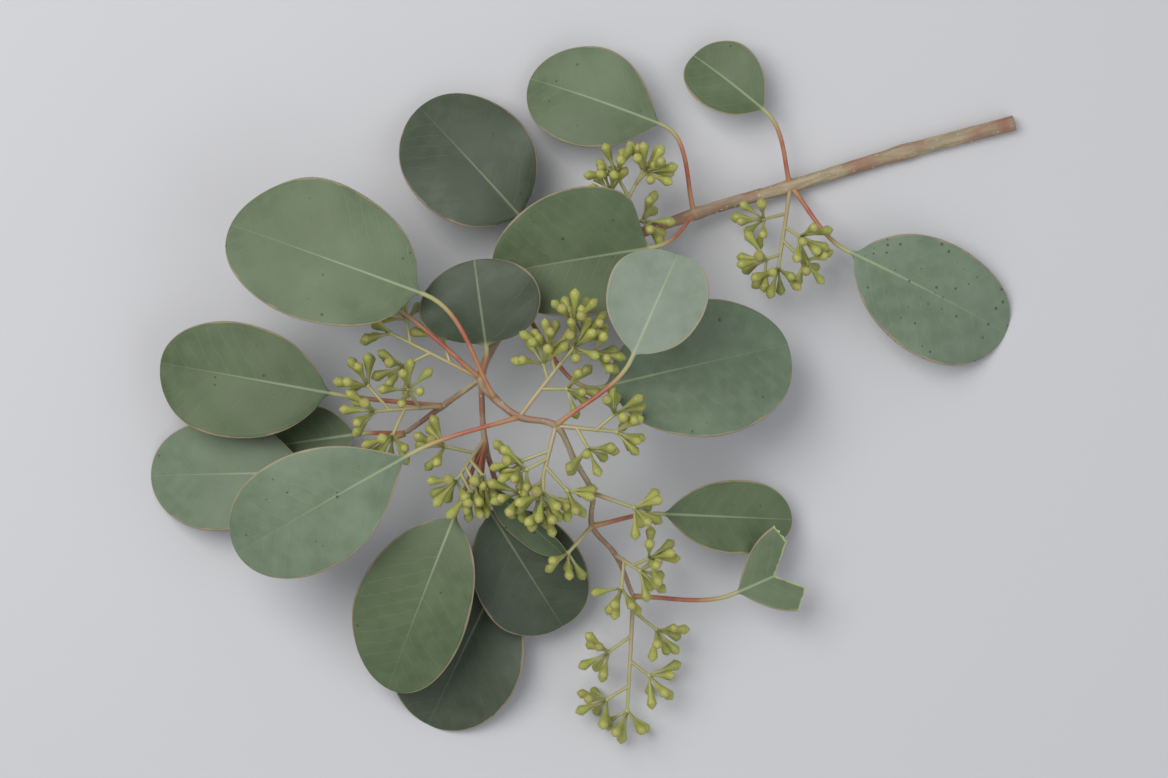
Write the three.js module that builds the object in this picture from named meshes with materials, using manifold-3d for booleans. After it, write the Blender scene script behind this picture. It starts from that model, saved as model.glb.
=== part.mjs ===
// A eucalyptus sprig with gum nuts in bud, cut and laid down on a flat surface.
// Lengths are in millimetres and +Z is up. Seen from above, the cut end of the stem lies at the
// upper right, and the shoot rises over the leaves that prop it up and droops to the lower right.
import * as THREE from "three";
import { mergeVertices } from "three/addons/utils/BufferGeometryUtils.js";
import Module from "manifold-3d";

const wasm = await Module();
wasm.setup();

// The middle of the sprig's footprint, which becomes the origin
const PLAN_CENTRE = [22.31, 8.59];

// The gap that touching pieces keep, and how near two points are when they count as one
const TOUCH_GAP = 0.3;
const SAME_POINT = 1e-4;

// The stem is this many times thicker at a joint
const JOINT_SWELLING = 1.14;

// Leaves. A stalk starts out this much upwards, and the phase of the ripple in a leaf's margins
// moves on by this much from each leaf to the next.
const LEAF_THICKNESS = 0.8;
const PETIOLE_RADIUS = 0.75;
const PETIOLE_FOOT_RADIUS = 1.05;
const PETIOLE_LIFT = 0.35;
const RIPPLES = 1.5;
const RIPPLE_PHASE_STEP = 1.7;

// Axes of the sprays: their radii as shares of the first, and how far they rise in the middle
const SPRAY_AXIS_RADIUS = 0.8;
const SPRAY_AXIS_TAPER = [1, 0.95, 0.85, 0.75];
const SPRAY_AXIS_RISE = 3;

// Branches of the sprays. Angles are in degrees, and a branch tries the turns one by one.
const BRANCH_RADIUS = 0.62;
const BRANCH_LENGTH = 9;
const BRANCH_LENGTH_RANGE = [0.8, 1.2];
const BRANCH_LEAN = 55;
const BRANCH_SCATTER = 26;
const BRANCH_FLATNESS = 0.5;
const BRANCH_TURNS = [0, 40, -40, 80, -80, 180];
const LOWEST_UMBEL = 4;

// Gum nuts. A nut is a stalk that widens from its neck to the rim of its head.
const NUT_LENGTH = 11.4;
const NUT_STALK_RADIUS = 0.5;
const NUT_NECK_AT = 5;
const NUT_NECK_RADIUS = 0.7;
const NUT_RIM_AT = 9.4;
const NUT_RIM_RADIUS = 1.8;
const NUT_HEAD_AT = 8.8;
const NUT_SIZE_RANGE = [0.9, 1.06];

// Umbels: one nut near the middle and the others round it. Angles are in degrees.
const NUTS_ROUND_UMBEL = 4;
const MIDDLE_NUT_LEAN = 8;
const OUTER_NUT_LEAN = [46, 70];
const NUT_SCATTER = 0.35;
const NUT_TURNS = [0, 24, -24, 44, -44];

// How finely the pieces are cut
const STEM_SIDES = 8;
const TWIG_SIDES = 6;
const BRANCH_SIDES = 5;
const NUT_SIDES = 5;
const RINGS_PER_INTERNODE = 3;
const PETIOLE_STEPS = 5;
const BLADE_COLUMNS = 4;
const BLADE_STATIONS = [0.05, 0.12, 0.22, 0.36, 0.51, 0.66, 0.8, 0.91, 0.97];

// Joints of the stem, from the cut end to the tip
const MAIN_STEM = [
  { name: "cut", at: [170, 101, 2.3], radius: 2.6 },
  { name: "bare", at: [132, 91, 2.1], radius: 2.5 },
  { name: "s1", at: [93, 79, 4.5], radius: 2.2 },
  { name: "s2", at: [60, 69, 9.5], radius: 1.95 },
  { name: "s3", at: [28, 56, 16], radius: 1.75 },
  { name: "s4", at: [1, 36, 24], radius: 1.55 },
  { name: "n1", at: [-12, 12, 34], radius: 1.3 },
  { name: "n2", at: [-7, 5, 40], radius: 1.2 },
  { name: "n3", at: [1, -1, 44], radius: 1.1 },
  { name: "n4", at: [13, -4, 46], radius: 1.0 },
  { name: "n5", at: [19, -15, 42], radius: 0.95 },
  { name: "n6", at: [25, -26, 36], radius: 0.9 },
  { name: "n7", at: [25, -37, 29], radius: 0.85 },
  { name: "n8", at: [33, -47, 21], radius: 0.8 },
  { name: "n9", at: [39, -61, 13], radius: 0.75 },
];
const WEST_TWIG = [
  { name: "w0", at: [-12, 12, 34], radius: 1.0 },
  { name: "w1", at: [-25, 3, 28], radius: 0.95 },
  { name: "w2", at: [-38, -6, 21], radius: 0.85 },
];
const SOUTH_TWIG = [
  { name: "u0", at: [-12, 12, 34], radius: 1.0 },
  { name: "u1", at: [-11, -8, 27], radius: 0.95 },
  { name: "u2", at: [-7, -24, 18], radius: 0.85 },
];

// How the tip of a leaf is torn off. A square corner at a place is out of it, which opens along
// heading. Each of the two lobes beside it ends at a straight tear, which crosses the heading at
// reach from the corner and leans by lean. Angles are in degrees.
const TORN_TIP = {
  at: [86.2, -54],
  heading: 25,
  ends: [{ reach: 10.8, lean: 14 }, { reach: 15.3, lean: -42 }],
};
const TORN_BLADE = { arch: 3, widest: 0.6, blunt: 0.3, taper: 6, torn: TORN_TIP };

// What a blade is like where its own line says nothing else. arch is how far the middle of the
// midrib rises over its chord, and roll tips the blade about it. widest is where along the blade it
// is widest, blunt shapes the tip from 0.3, square, to 1, pointed, taper the base from 6, a wedge, to
// 30, round, and skew makes one half wider than the other. The rest bend the margins.
const PLAIN_BLADE = {
  arch: 5, roll: 3, widest: 0.57, blunt: 0.5, taper: 9, skew: 0, cup: -0.07, fold: 0.1, wave: 0.05,
};

// What a blade is like that is widest near its base
const BROAD_BASE = {
  arch: 3, roll: -6, widest: 0.4, taper: 30, skew: 0.1, cup: 0.08, fold: 0.14,
};

// Leaves. from is the joint that a leaf leaves, and base and tip are the ends of its midrib.
const LEAVES = [
  leaf("leaf_01", "n2", [-30, 39, 50], [-95, 63, 37], 47, { roll: 6, widest: 0.54, taper: 16, skew: 0.05, wave: 0.1 }),
  leaf("leaf_02", "w1", [-61, 7, 30], [-121, 18, 15], 39, { roll: -5, blunt: 0.48, taper: 12, skew: -0.08 }),
  leaf("leaf_03", "w2", [-69, -19, 17], [-126, -20, 0], 38, {}),
  leaf("leaf_04", "n3", [-34, -13, 48], [-93, -46, 33], 40, { arch: 6, roll: -4, widest: 0.6, taper: 6.6 }),
  leaf("leaf_05", "u1", [-20, -32, 34], [-44, -92, 13], 39, { arch: 6, roll: 8, taper: 14, skew: 0.08 }),
  leaf("leaf_06", "n4", [38, 18, 54], [53, 52, 52], 34, { arch: 3, roll: -14, blunt: 0.46, cup: 0.12 }),
  leaf("leaf_07", "s4", [28, 9, 37], [91, 24, 20], 46, { roll: -6, taper: 20, skew: 0.1, wave: 0.09 }),
  leaf("leaf_08", "u1", [-10, -31, 21], [15, -71, 9], 38, { arch: 4, blunt: 0.48, taper: 14, cup: 0.06 }),
  leaf("leaf_09", "s2", [45, 56, 30], [-8, 47, 31], 43, BROAD_BASE),
  leaf("leaf_10", "s4", [2, 66, 20], [-34, 106, 5], 43, { arch: 6, widest: 0.52, taper: 14 }),
  leaf("leaf_11", "u2", [-6, -53, 8], [-31, -105, 0], 43, { arch: 3, cup: 0.04, fold: 0.08 }),
  leaf("leaf_12", "s1", [112, 56, 14], [167, 29, 0], 40, { arch: 6, roll: -4, taper: 14, skew: 0.08 }),
  leaf("leaf_13", "s2", [49, 99, 14], [4, 116, 4], 35, { roll: 5, blunt: 0.52, fold: 0.12 }),
  leaf("leaf_14", "w2", [-54, -6, 13], [-84, -10, 4], 24, { arch: 2, blunt: 0.55, cup: 0.05 }),
  leaf("leaf_15", "n9", [73, -60, 15], [113, -42, 15], 32, TORN_BLADE),
  leaf("leaf_16", "s1", [84, 104, 12], [60, 124, 4], 25, { arch: 3, roll: 5, cup: 0.06, fold: 0.12 }),
  leaf("leaf_17", "n7", [48, -33, 19], [93, -35, 7], 25, { arch: 3, roll: -4, cup: 0.04, wave: 0.08 }),
  leaf("leaf_18", "u1", [-11, -22, 31], [16, -47, 25], 19, { arch: 3, roll: 58, blunt: 0.6, cup: 0.2 }),
  leaf("leaf_19", "n1", [-10, 22, 39], [-14, 51, 41], 41, { arch: 2, roll: -8, widest: 0.5, taper: 16 }),
  leaf("leaf_20", "n1", [-45, 38, 39], [-86, 58, 29], 31, { arch: 3, cup: -0.04, fold: 0.05 }),
];

// Sprays of gum nuts. end is where the last umbel stands. first is how far along the axis the first
// branch leaves it, and side is 1 where that branch is on the right, seen from the joint.
const PLAIN_SPRAY = { first: 0.34, side: 0 };
const SPRAYS = [
  { name: "gum_nuts_01", from: "n1", end: [-42, 27, 36], umbels: 4, seed: 3 },
  { name: "gum_nuts_02", from: "w1", end: [-47, 1, 38], umbels: 4, seed: 11 },
  { name: "gum_nuts_03", from: "n3", end: [22, 26, 47], umbels: 4, seed: 5 },
  { name: "gum_nuts_04", from: "n4", end: [33, -6, 46], umbels: 2, seed: 8 },
  { name: "gum_nuts_05", from: "n4", end: [7, -28, 42], umbels: 4, seed: 2 },
  { name: "gum_nuts_06", from: "u1", end: [-20, -22, 38], umbels: 3, seed: 21 },
  { name: "gum_nuts_07", from: "n6", end: [39, -31, 36], umbels: 1, seed: 7 },
  { name: "gum_nuts_08", from: "n7", end: [17, -46, 31], umbels: 1, seed: 13 },
  { name: "gum_nuts_09", from: "n8", end: [41, -52, 26], umbels: 2, seed: 17 },
  { name: "gum_nuts_10", from: "n9", end: [37, -100, 8], umbels: 5, seed: 4, first: 0.12, side: 1 },
  { name: "gum_nuts_11", from: "s3", end: [42, 82, 26], umbels: 3, seed: 9 },
  { name: "gum_nuts_12", from: "s1", end: [88, 50, 18], umbels: 3, seed: 6 },
].map((spray) => ({ ...PLAIN_SPRAY, ...spray }));

const BARK = new THREE.MeshStandardMaterial({ color: 0x9a6a4c, roughness: 0.75, metalness: 0 });
const LEAF_SKIN = new THREE.MeshStandardMaterial({ color: 0x6f8268, roughness: 0.6, metalness: 0 });
const NUT_SKIN = new THREE.MeshStandardMaterial({ color: 0x9aa04a, roughness: 0.6, metalness: 0 });

const UP = new THREE.Vector3(0, 0, 1);
const point = ([x, y, z]) => new THREE.Vector3(x, y, z);
const radians = THREE.MathUtils.degToRad;

const JOINTS = new Map(
  [...MAIN_STEM, ...WEST_TWIG, ...SOUTH_TWIG].map((joint) => [joint.name, joint]),
);

// A leaf, with the phase of its ripple worked out from its number.
function leaf(name, from, base, tip, width, shape) {
  const phase = RIPPLE_PHASE_STEP * Number(name.slice(-2));
  return { name, from, base, tip, width, phase, ...PLAIN_BLADE, ...shape };
}

// A repeatable draw from 0 to 1 for a seed and a count.
function draw(seed, count) {
  const x = Math.sin(seed * 127.1 + count * 311.7) * 43758.5453;
  return x - Math.floor(x);
}

// A repeatable draw between two numbers.
function drawBetween([low, high], seed, count) {
  return low + (high - low) * draw(seed, count);
}

// A frame at each point of a path: along it, to its right, and its normal, carried without twist.
function pathFrames(points, firstNormal = UP) {
  const frames = [];
  let normal = firstNormal.clone();
  points.forEach((at, i) => {
    const before = points[Math.max(i - 1, 0)];
    const after = points[Math.min(i + 1, points.length - 1)];
    const along = after.clone().sub(before).normalize();
    normal = normal.clone().addScaledVector(along, -normal.dot(along)).normalize();
    const right = along.clone().cross(normal);
    frames.push({ at, along, right, normal: normal.clone() });
  });
  return frames;
}

// Points of a circle, from its left over the top to the right and back underneath.
function circle({ at, right, normal }, radius, sides) {
  return Array.from({ length: sides }, (_, i) => {
    const angle = Math.PI * (1 - (2 * i + 1) / sides);
    return at
      .clone()
      .addScaledVector(right, radius * Math.cos(angle))
      .addScaledVector(normal, radius * Math.sin(angle));
  });
}

// A closed skin over rings with equally many points. A last ring of one point is a tip. From the
// point number mirroredFrom on, the quads are split the other way.
function skin(rings, mirroredFrom = Infinity) {
  const size = rings[0].length;
  const index = [];
  for (let k = 1; k < size - 1; k++) index.push(0, k + 1, k);
  rings.slice(1).forEach((ring, i) => {
    const here = i * size;
    const next = here + size;
    for (let j = 0; j < size; j++) {
      const a = here + j;
      const b = here + ((j + 1) % size);
      if (ring.length === 1) {
        index.push(a, b, next);
        continue;
      }
      const c = next + ((j + 1) % size);
      const d = next + j;
      index.push(...(j < mirroredFrom ? [a, b, c, a, c, d] : [a, b, d, b, c, d]));
    }
  });
  const last = (rings.length - 1) * size;
  if (rings.at(-1).length > 1)
    for (let k = 1; k < size - 1; k++) index.push(last, last + k, last + k + 1);
  return new THREE.BufferGeometry().setFromPoints(rings.flat()).setIndex(index);
}

// A geometry as a solid, with its shared vertices merged.
function solidOf(geometry) {
  const bare = geometry.clone();
  bare.deleteAttribute("normal");
  bare.deleteAttribute("uv");
  const merged = mergeVertices(bare, SAME_POINT);
  const index = merged.index.array;
  const kept = [];
  for (let i = 0; i < index.length; i += 3) {
    const [a, b, c] = index.slice(i, i + 3);
    if (a !== b && b !== c && c !== a) kept.push(a, b, c);
  }
  return new wasm.Manifold(
    new wasm.Mesh({
      numProp: 3,
      vertProperties: new Float32Array(merged.attributes.position.array),
      triVerts: new Uint32Array(kept),
    }),
  );
}

// A round rod along a path, whose radius runs through the given values.
function rod(points, radii, sides) {
  const frames = pathFrames(points);
  return solidOf(skin(frames.map((frame, i) => circle(frame, radii[i], sides))));
}

// The joints of a stem as one rod, with a slight swelling at each joint.
function stemRod(joints, sides, grow) {
  const curve = new THREE.CatmullRomCurve3(
    joints.map((joint) => point(joint.at)),
    false,
    "centripetal",
  );
  const steps = (joints.length - 1) * RINGS_PER_INTERNODE;
  const points = [];
  const radii = [];
  for (let i = 0; i <= steps; i++) {
    const place = i / RINGS_PER_INTERNODE;
    const k = Math.min(Math.floor(place), joints.length - 2);
    const plain = THREE.MathUtils.lerp(joints[k].radius, joints[k + 1].radius, place - k);
    const isInnerJoint = i % RINGS_PER_INTERNODE === 0 && i > 0 && i < steps;
    points.push(curve.getPoint(i / steps));
    radii.push(plain * (isInnerJoint ? JOINT_SWELLING : 1) + grow);
  }
  return rod(points, radii, sides);
}

// The stem with its two twigs, made thicker by grow.
function stemSolid(grow = 0) {
  return stemRod(MAIN_STEM, STEM_SIDES, grow)
    .add(stemRod(WEST_TWIG, TWIG_SIDES, grow))
    .add(stemRod(SOUTH_TWIG, TWIG_SIDES, grow));
}

// The midrib of a leaf, as a curve from its base to its tip.
function midrib({ base, tip, arch }) {
  const from = point(base);
  const to = point(tip);
  const middle = from.clone().add(to).multiplyScalar(0.5).addScaledVector(UP, 2 * arch);
  return new THREE.QuadraticBezierCurve3(from, middle, to);
}

// The stalk of a leaf, as a curve from its joint on the stem to the base of the blade.
function petiole(piece) {
  const from = point(JOINTS.get(piece.from).at);
  const to = point(piece.base);
  const chord = to.clone().sub(from);
  const reach = chord.length() / 3;
  const leaving = chord.normalize().addScaledVector(UP, PETIOLE_LIFT).normalize();
  const arriving = midrib(piece).getTangent(0);
  return new THREE.CubicBezierCurve3(
    from,
    from.clone().addScaledVector(leaving, reach),
    to.clone().addScaledVector(arriving, -reach),
    to,
  );
}

// The radii along a leaf stalk, made thicker by grow. It is thickest where it leaves the stem.
function petioleRadii(grow = 0) {
  return Array.from({ length: PETIOLE_STEPS + 1 }, (_, i) => {
    const share = Math.min((2 * i) / PETIOLE_STEPS, 1);
    return THREE.MathUtils.lerp(PETIOLE_FOOT_RADIUS, PETIOLE_RADIUS, share) + grow;
  });
}

// Half the width of a blade at a share u of its length.
function halfWidth({ width, widest, blunt, taper }, u) {
  const rise = (blunt * widest) / (1 - widest);
  const shape = (x) => x ** rise * (1 - x) ** blunt * (1 - (1 - x) ** taper);
  return (width / 2) * (shape(u) / shape(widest));
}

// How far a blade stands off the plane of its midrib, at a share u along and v across it.
function standOff(blade, u, v) {
  const ripple = Math.sin(2 * Math.PI * RIPPLES * u + blade.phase) * v * Math.abs(v);
  return halfWidth(blade, u) * (blade.fold * Math.abs(v) + blade.cup * v * v + blade.wave * ripple);
}

// One ring round a blade: its top from left to right, and its underside back.
function bladeRing(blade, curve, u) {
  const at = curve.getPoint(u);
  const along = curve.getTangent(u);
  const normal = UP.clone().addScaledVector(along, -UP.dot(along)).normalize();
  normal.applyAxisAngle(along, radians(blade.roll));
  const right = along.clone().cross(normal);
  const half = halfWidth(blade, u);
  const row = Array.from({ length: BLADE_COLUMNS + 1 }, (_, i) => {
    const v = (2 * i) / BLADE_COLUMNS - 1;
    return at
      .clone()
      .addScaledVector(right, v * half * (1 + blade.skew * Math.sign(v)))
      .addScaledVector(normal, standOff(blade, u, v));
  });
  const shifted = (by) => row.map((p) => p.clone().addScaledVector(normal, by));
  return [...shifted(LEAF_THICKNESS / 2), ...shifted(-LEAF_THICKNESS / 2).reverse()];
}

// A leaf: its stalk runs out of the stem and widens into the blade.
function leafSolid(piece) {
  const stalk = petiole(piece);
  const sides = 2 * (BLADE_COLUMNS + 1);
  const radii = petioleRadii();
  const frames = pathFrames(stalk.getPoints(PETIOLE_STEPS));
  const rings = frames.map((frame, i) => circle(frame, radii[i], sides));
  const curve = midrib(piece);
  BLADE_STATIONS.forEach((u) => rings.push(bladeRing(piece, curve, u)));
  rings.push([curve.getPoint(1)]);
  return solidOf(skin(rings, BLADE_COLUMNS + 1));
}

// One gum nut in bud on its stalk, pointing along +Y from the middle of its umbel.
function nutSolid(grow = 0) {
  const profile = [
    [0, -grow],
    [NUT_STALK_RADIUS + grow, 0],
    [NUT_NECK_RADIUS + grow, NUT_NECK_AT],
    [NUT_RIM_RADIUS + grow, NUT_RIM_AT],
    [0, NUT_LENGTH + grow],
  ].map(([radius, height]) => new THREE.Vector2(radius, height));
  return solidOf(new THREE.LatheGeometry(profile, NUT_SIDES));
}

const NUT = nutSolid();
const NUT_WITH_ROOM = nutSolid(TOUCH_GAP);

// Whether a solid runs into any of the others.
function runsInto(solid, others) {
  const { min, max } = solid.boundingBox();
  return others.some((other) => {
    const box = other.boundingBox();
    const apart = [0, 1, 2].some((k) => min[k] > box.max[k] || max[k] < box.min[k]);
    return !apart && !solid.intersect(other).isEmpty();
  });
}

// A direction at an angle to a frame's own, turned about it by azimuth.
function leaning(frame, angle, azimuth) {
  return frame.along
    .clone()
    .multiplyScalar(Math.cos(angle))
    .addScaledVector(frame.right, Math.sin(angle) * Math.cos(azimuth))
    .addScaledVector(frame.normal, Math.sin(angle) * Math.sin(azimuth));
}

// The frame whose own direction is along.
function frameAlong(at, along) {
  const across = Math.abs(along.z) > 0.9 ? new THREE.Vector3(1, 0, 0) : UP;
  const normal = across.clone().addScaledVector(along, -across.dot(along)).normalize();
  return { at, along, normal, right: along.clone().cross(normal) };
}

// The first of some turns at which a nut has room, as a matrix, or null where there is none.
function nutPlace(centre, angle, azimuth, size, heads, others) {
  for (const turn of NUT_TURNS) {
    const direction = leaning(centre, angle, azimuth + radians(turn));
    const head = centre.at.clone().addScaledVector(direction, NUT_HEAD_AT * size);
    if (heads.some((other) => other.distanceTo(head) < 2 * NUT_RIM_RADIUS)) continue;
    const matrix = new THREE.Matrix4().compose(
      centre.at,
      new THREE.Quaternion().setFromUnitVectors(new THREE.Vector3(0, 1, 0), direction),
      new THREE.Vector3(size, size, size),
    );
    const room = NUT_WITH_ROOM.transform(matrix.elements);
    if (room.boundingBox().min[2] < TOUCH_GAP || runsInto(room, others)) continue;
    heads.push(head);
    return matrix;
  }
  return null;
}

// The nuts of one umbel: one straight on and the others round it, each where it has room.
function umbelNuts(centre, seed, heads, others) {
  const nuts = [];
  for (let i = 0; i <= NUTS_ROUND_UMBEL; i++) {
    const lean = i === 0 ? MIDDLE_NUT_LEAN : drawBetween(OUTER_NUT_LEAN, seed, i);
    const azimuth = (2 * Math.PI * (i + NUT_SCATTER * draw(seed, i + 20))) / NUTS_ROUND_UMBEL;
    const size = drawBetween(NUT_SIZE_RANGE, seed, i + 40);
    const matrix = nutPlace(centre, radians(lean), azimuth, size, heads, others);
    if (matrix) nuts.push(NUT.transform(matrix.elements));
  }
  return nuts;
}

// A branch of a spray that has room, with the frame of its umbel, or null.
function sideBranch(from, { seed, side }, count, others) {
  const length = BRANCH_LENGTH * drawBetween(BRANCH_LENGTH_RANGE, seed, count + 60);
  const scatter = drawBetween([-BRANCH_SCATTER, BRANCH_SCATTER], seed, count + 99);
  const first = 180 * (count + side) + scatter;
  for (const turn of BRANCH_TURNS) {
    const direction = leaning(from, radians(BRANCH_LEAN), radians(first + turn));
    direction.setZ(direction.z * BRANCH_FLATNESS).normalize();
    const end = from.at.clone().addScaledVector(direction, length);
    const shape = (grow) =>
      rod([from.at, end], [BRANCH_RADIUS + grow, BRANCH_RADIUS + grow], BRANCH_SIDES);
    if (end.z < LOWEST_UMBEL || runsInto(shape(TOUCH_GAP), others)) continue;
    return { branch: shape(0), umbel: frameAlong(end, direction) };
  }
  return null;
}

// The axis of a spray, as a curve from its joint on the stem to its last umbel.
function sprayAxis(spray) {
  const from = point(JOINTS.get(spray.from).at);
  const end = point(spray.end);
  const middle = from.clone().add(end).multiplyScalar(0.5).addScaledVector(UP, SPRAY_AXIS_RISE);
  return new THREE.QuadraticBezierCurve3(from, middle, end);
}

// The axis of a spray as a rod, made thicker by grow.
function axisRod(spray, grow = 0) {
  const radii = SPRAY_AXIS_TAPER.map((share) => SPRAY_AXIS_RADIUS * share + grow);
  return rod(sprayAxis(spray).getPoints(radii.length - 1), radii, BRANCH_SIDES);
}

// A spray of gum nuts: an axis with umbels on short branches, and one at its end.
function spraySolid(spray, heads, others) {
  const axis = sprayAxis(spray);
  const parts = [axisRod(spray)];
  const last = spray.umbels - 1;
  for (let k = 0; k <= last; k++) {
    const share = k === last ? 1 : THREE.MathUtils.lerp(spray.first, 1, k / last);
    const here = frameAlong(axis.getPoint(share), axis.getTangent(share));
    const seed = spray.seed + k / 7;
    if (k === last) {
      parts.push(...umbelNuts(here, seed, heads, others));
      continue;
    }
    const side = sideBranch(here, spray, k, others);
    if (side) parts.push(side.branch, ...umbelNuts(side.umbel, seed, heads, others));
  }
  return parts.reduce((whole, part) => whole.add(part));
}

// The largest body of a solid, without loose scraps.
function largestBody(solid) {
  return solid.decompose().reduce((a, b) => (a.volume() > b.volume() ? a : b));
}

// A solid cut flat where it would reach under the surface that the sprig lies on.
function restingOnSurface(solid) {
  if (solid.boundingBox().min[2] >= 0) return solid;
  const width = 800;
  const depth = 40;
  const under = new THREE.BoxGeometry(width, width, depth).translate(0, 0, -depth / 2);
  return solid.subtract(solidOf(under));
}

// A leaf without its torn tip.
function tornLeaf(solid, { at: [x, y], heading, ends }) {
  const size = 120;
  const corner = new THREE.BoxGeometry(size, size, size)
    .translate(size / 2, size / 2, 0)
    .rotateZ(radians(-45));
  const beyond = ends.map(({ reach, lean }) =>
    new THREE.BoxGeometry(size, size, size)
      .translate(size / 2, 0, 0)
      .rotateZ(radians(lean))
      .translate(reach, 0, 0),
  );
  return [corner, ...beyond]
    .map((torn) => solidOf(torn.rotateZ(radians(heading)).translate(x, y, 0)))
    .reduce((rest, torn) => rest.subtract(torn), solid);
}

// A solid as a mesh of the scene.
function meshOf(name, solid, material) {
  const { vertProperties, triVerts, numProp } = solid.getMesh();
  const position = new Float32Array((vertProperties.length / numProp) * 3);
  for (let i = 0; i < position.length / 3; i++)
    position.set(vertProperties.subarray(i * numProp, i * numProp + 3), i * 3);
  const geometry = new THREE.BufferGeometry()
    .setAttribute("position", new THREE.BufferAttribute(position, 3))
    .setIndex(new THREE.BufferAttribute(new Uint32Array(triVerts), 1));
  geometry.computeVertexNormals();
  const mesh = new THREE.Mesh(geometry, material);
  mesh.name = name;
  return mesh;
}

// The rods that leave each joint of the stem, made thicker by the gap that keeps pieces apart.
const leavingJoint = new Map();

// A piece cut clear of the stem and of the earlier pieces that leave the stem at its joint.
function cutClear(solid, joint, ownRod) {
  const earlier = leavingJoint.get(joint) ?? [];
  leavingJoint.set(joint, [...earlier, ownRod]);
  return largestBody([stemWithRoom, ...earlier].reduce((rest, room) => rest.subtract(room), solid));
}

const sprig = new THREE.Group();
sprig.position.set(-PLAN_CENTRE[0], -PLAN_CENTRE[1], 0);

const stem = restingOnSurface(stemSolid());
const stemWithRoom = stemSolid(TOUCH_GAP);
sprig.add(meshOf("stem", stem, BARK));

const standing = [stem];
for (const piece of LEAVES) {
  const stalk = rod(petiole(piece).getPoints(PETIOLE_STEPS), petioleRadii(TOUCH_GAP), STEM_SIDES);
  const whole = piece.torn ? tornLeaf(leafSolid(piece), piece.torn) : leafSolid(piece);
  const solid = restingOnSurface(cutClear(whole, piece.from, stalk));
  standing.push(solid);
  sprig.add(meshOf(piece.name, solid, LEAF_SKIN));
}

const heads = [];
for (const spray of SPRAYS) {
  const whole = spraySolid(spray, heads, standing);
  const solid = cutClear(whole, spray.from, axisRod(spray, TOUCH_GAP));
  standing.push(solid);
  sprig.add(meshOf(spray.name, solid, NUT_SKIN));
}

export default sprig;
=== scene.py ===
"""A cut eucalyptus sprig with gum nuts in bud, laid down on a pale surface.

Sizes and places are in millimetres in the sprig's own layout, with +Z up. A mesh is turned into
metres in the frame when it is made.
"""

import logging
import math
from dataclasses import dataclass, field
from enum import Enum
from itertools import product
from typing import Sequence, Union

import bmesh
import bpy
import numpy as np
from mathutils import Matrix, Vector
from mathutils.bvhtree import BVHTree


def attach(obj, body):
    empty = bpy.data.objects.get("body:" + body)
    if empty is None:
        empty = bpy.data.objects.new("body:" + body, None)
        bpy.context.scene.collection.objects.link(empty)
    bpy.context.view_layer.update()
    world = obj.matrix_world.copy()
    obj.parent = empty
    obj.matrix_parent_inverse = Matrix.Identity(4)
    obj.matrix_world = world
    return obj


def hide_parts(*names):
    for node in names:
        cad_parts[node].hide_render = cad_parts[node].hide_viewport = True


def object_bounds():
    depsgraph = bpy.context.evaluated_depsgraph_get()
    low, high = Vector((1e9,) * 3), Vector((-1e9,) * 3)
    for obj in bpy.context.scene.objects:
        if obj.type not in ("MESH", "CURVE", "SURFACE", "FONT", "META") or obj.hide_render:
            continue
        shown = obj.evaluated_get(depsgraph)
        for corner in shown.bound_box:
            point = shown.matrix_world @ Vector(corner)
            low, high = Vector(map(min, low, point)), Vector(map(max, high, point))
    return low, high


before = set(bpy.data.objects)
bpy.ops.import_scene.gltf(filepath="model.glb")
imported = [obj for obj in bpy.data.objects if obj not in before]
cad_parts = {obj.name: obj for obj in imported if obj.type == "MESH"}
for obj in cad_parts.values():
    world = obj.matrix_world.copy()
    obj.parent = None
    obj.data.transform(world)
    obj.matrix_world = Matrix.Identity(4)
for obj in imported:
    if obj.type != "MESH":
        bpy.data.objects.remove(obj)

log = logging.getLogger("sprig")

Array = np.ndarray
Colour = tuple[int, int, int]
Place = tuple[float, float, float]
Faces = list[tuple[int, ...]]
Socket = bpy.types.NodeSocket
Value = Union[Socket, float, Sequence[float]]
Inputs = dict[Union[str, int], Value]
Sockets = dict[str, tuple[str, object]]

MM = 0.001
PLAN_CENTRE = np.array([22.31, 8.59, 0.0])
UP = np.array([0.0, 0.0, 1.0])
PHOTO_SIZE = (1168, 778)

DRAW_SPREAD = (127.1, 311.7, 43758.5453)

CAD_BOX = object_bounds()


# Places and paths


def draw(seed: float, count: float) -> float:
    """Draws a repeatable number from 0 to 1.

    Args:
        seed: Which series of draws.
        count: Which draw of the series.

    Returns:
        The number drawn.
    """
    by_seed, by_count, scale = DRAW_SPREAD
    x = math.sin(seed * by_seed + count * by_count) * scale
    return x - math.floor(x)


def unit(vector: Array) -> Array:
    """Returns a vector, or each row of an array of them, at length 1."""
    return vector / np.linalg.norm(vector, axis=-1, keepdims=True)


def draw_between(low: float, high: float, seed: float, count: float) -> float:
    """Draws a repeatable number between two numbers."""
    return low + (high - low) * draw(seed, count)


def smooth_step(low: float, high: float, x: Array) -> Array:
    """Returns 0 below low and 1 above high, with a smooth rise between them."""
    t = np.clip((x - low) / (high - low), 0, 1)
    return t * t * (3 - 2 * t)


def to_frame(points: Array) -> Array:
    """Returns points of the layout, in millimetres, as points of the frame, in metres."""
    return (points - PLAN_CENTRE) * MM


def to_layout(points: Array) -> Array:
    """Returns points of the frame, in metres, as points of the layout, in millimetres."""
    return points / MM + PLAN_CENTRE


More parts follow.
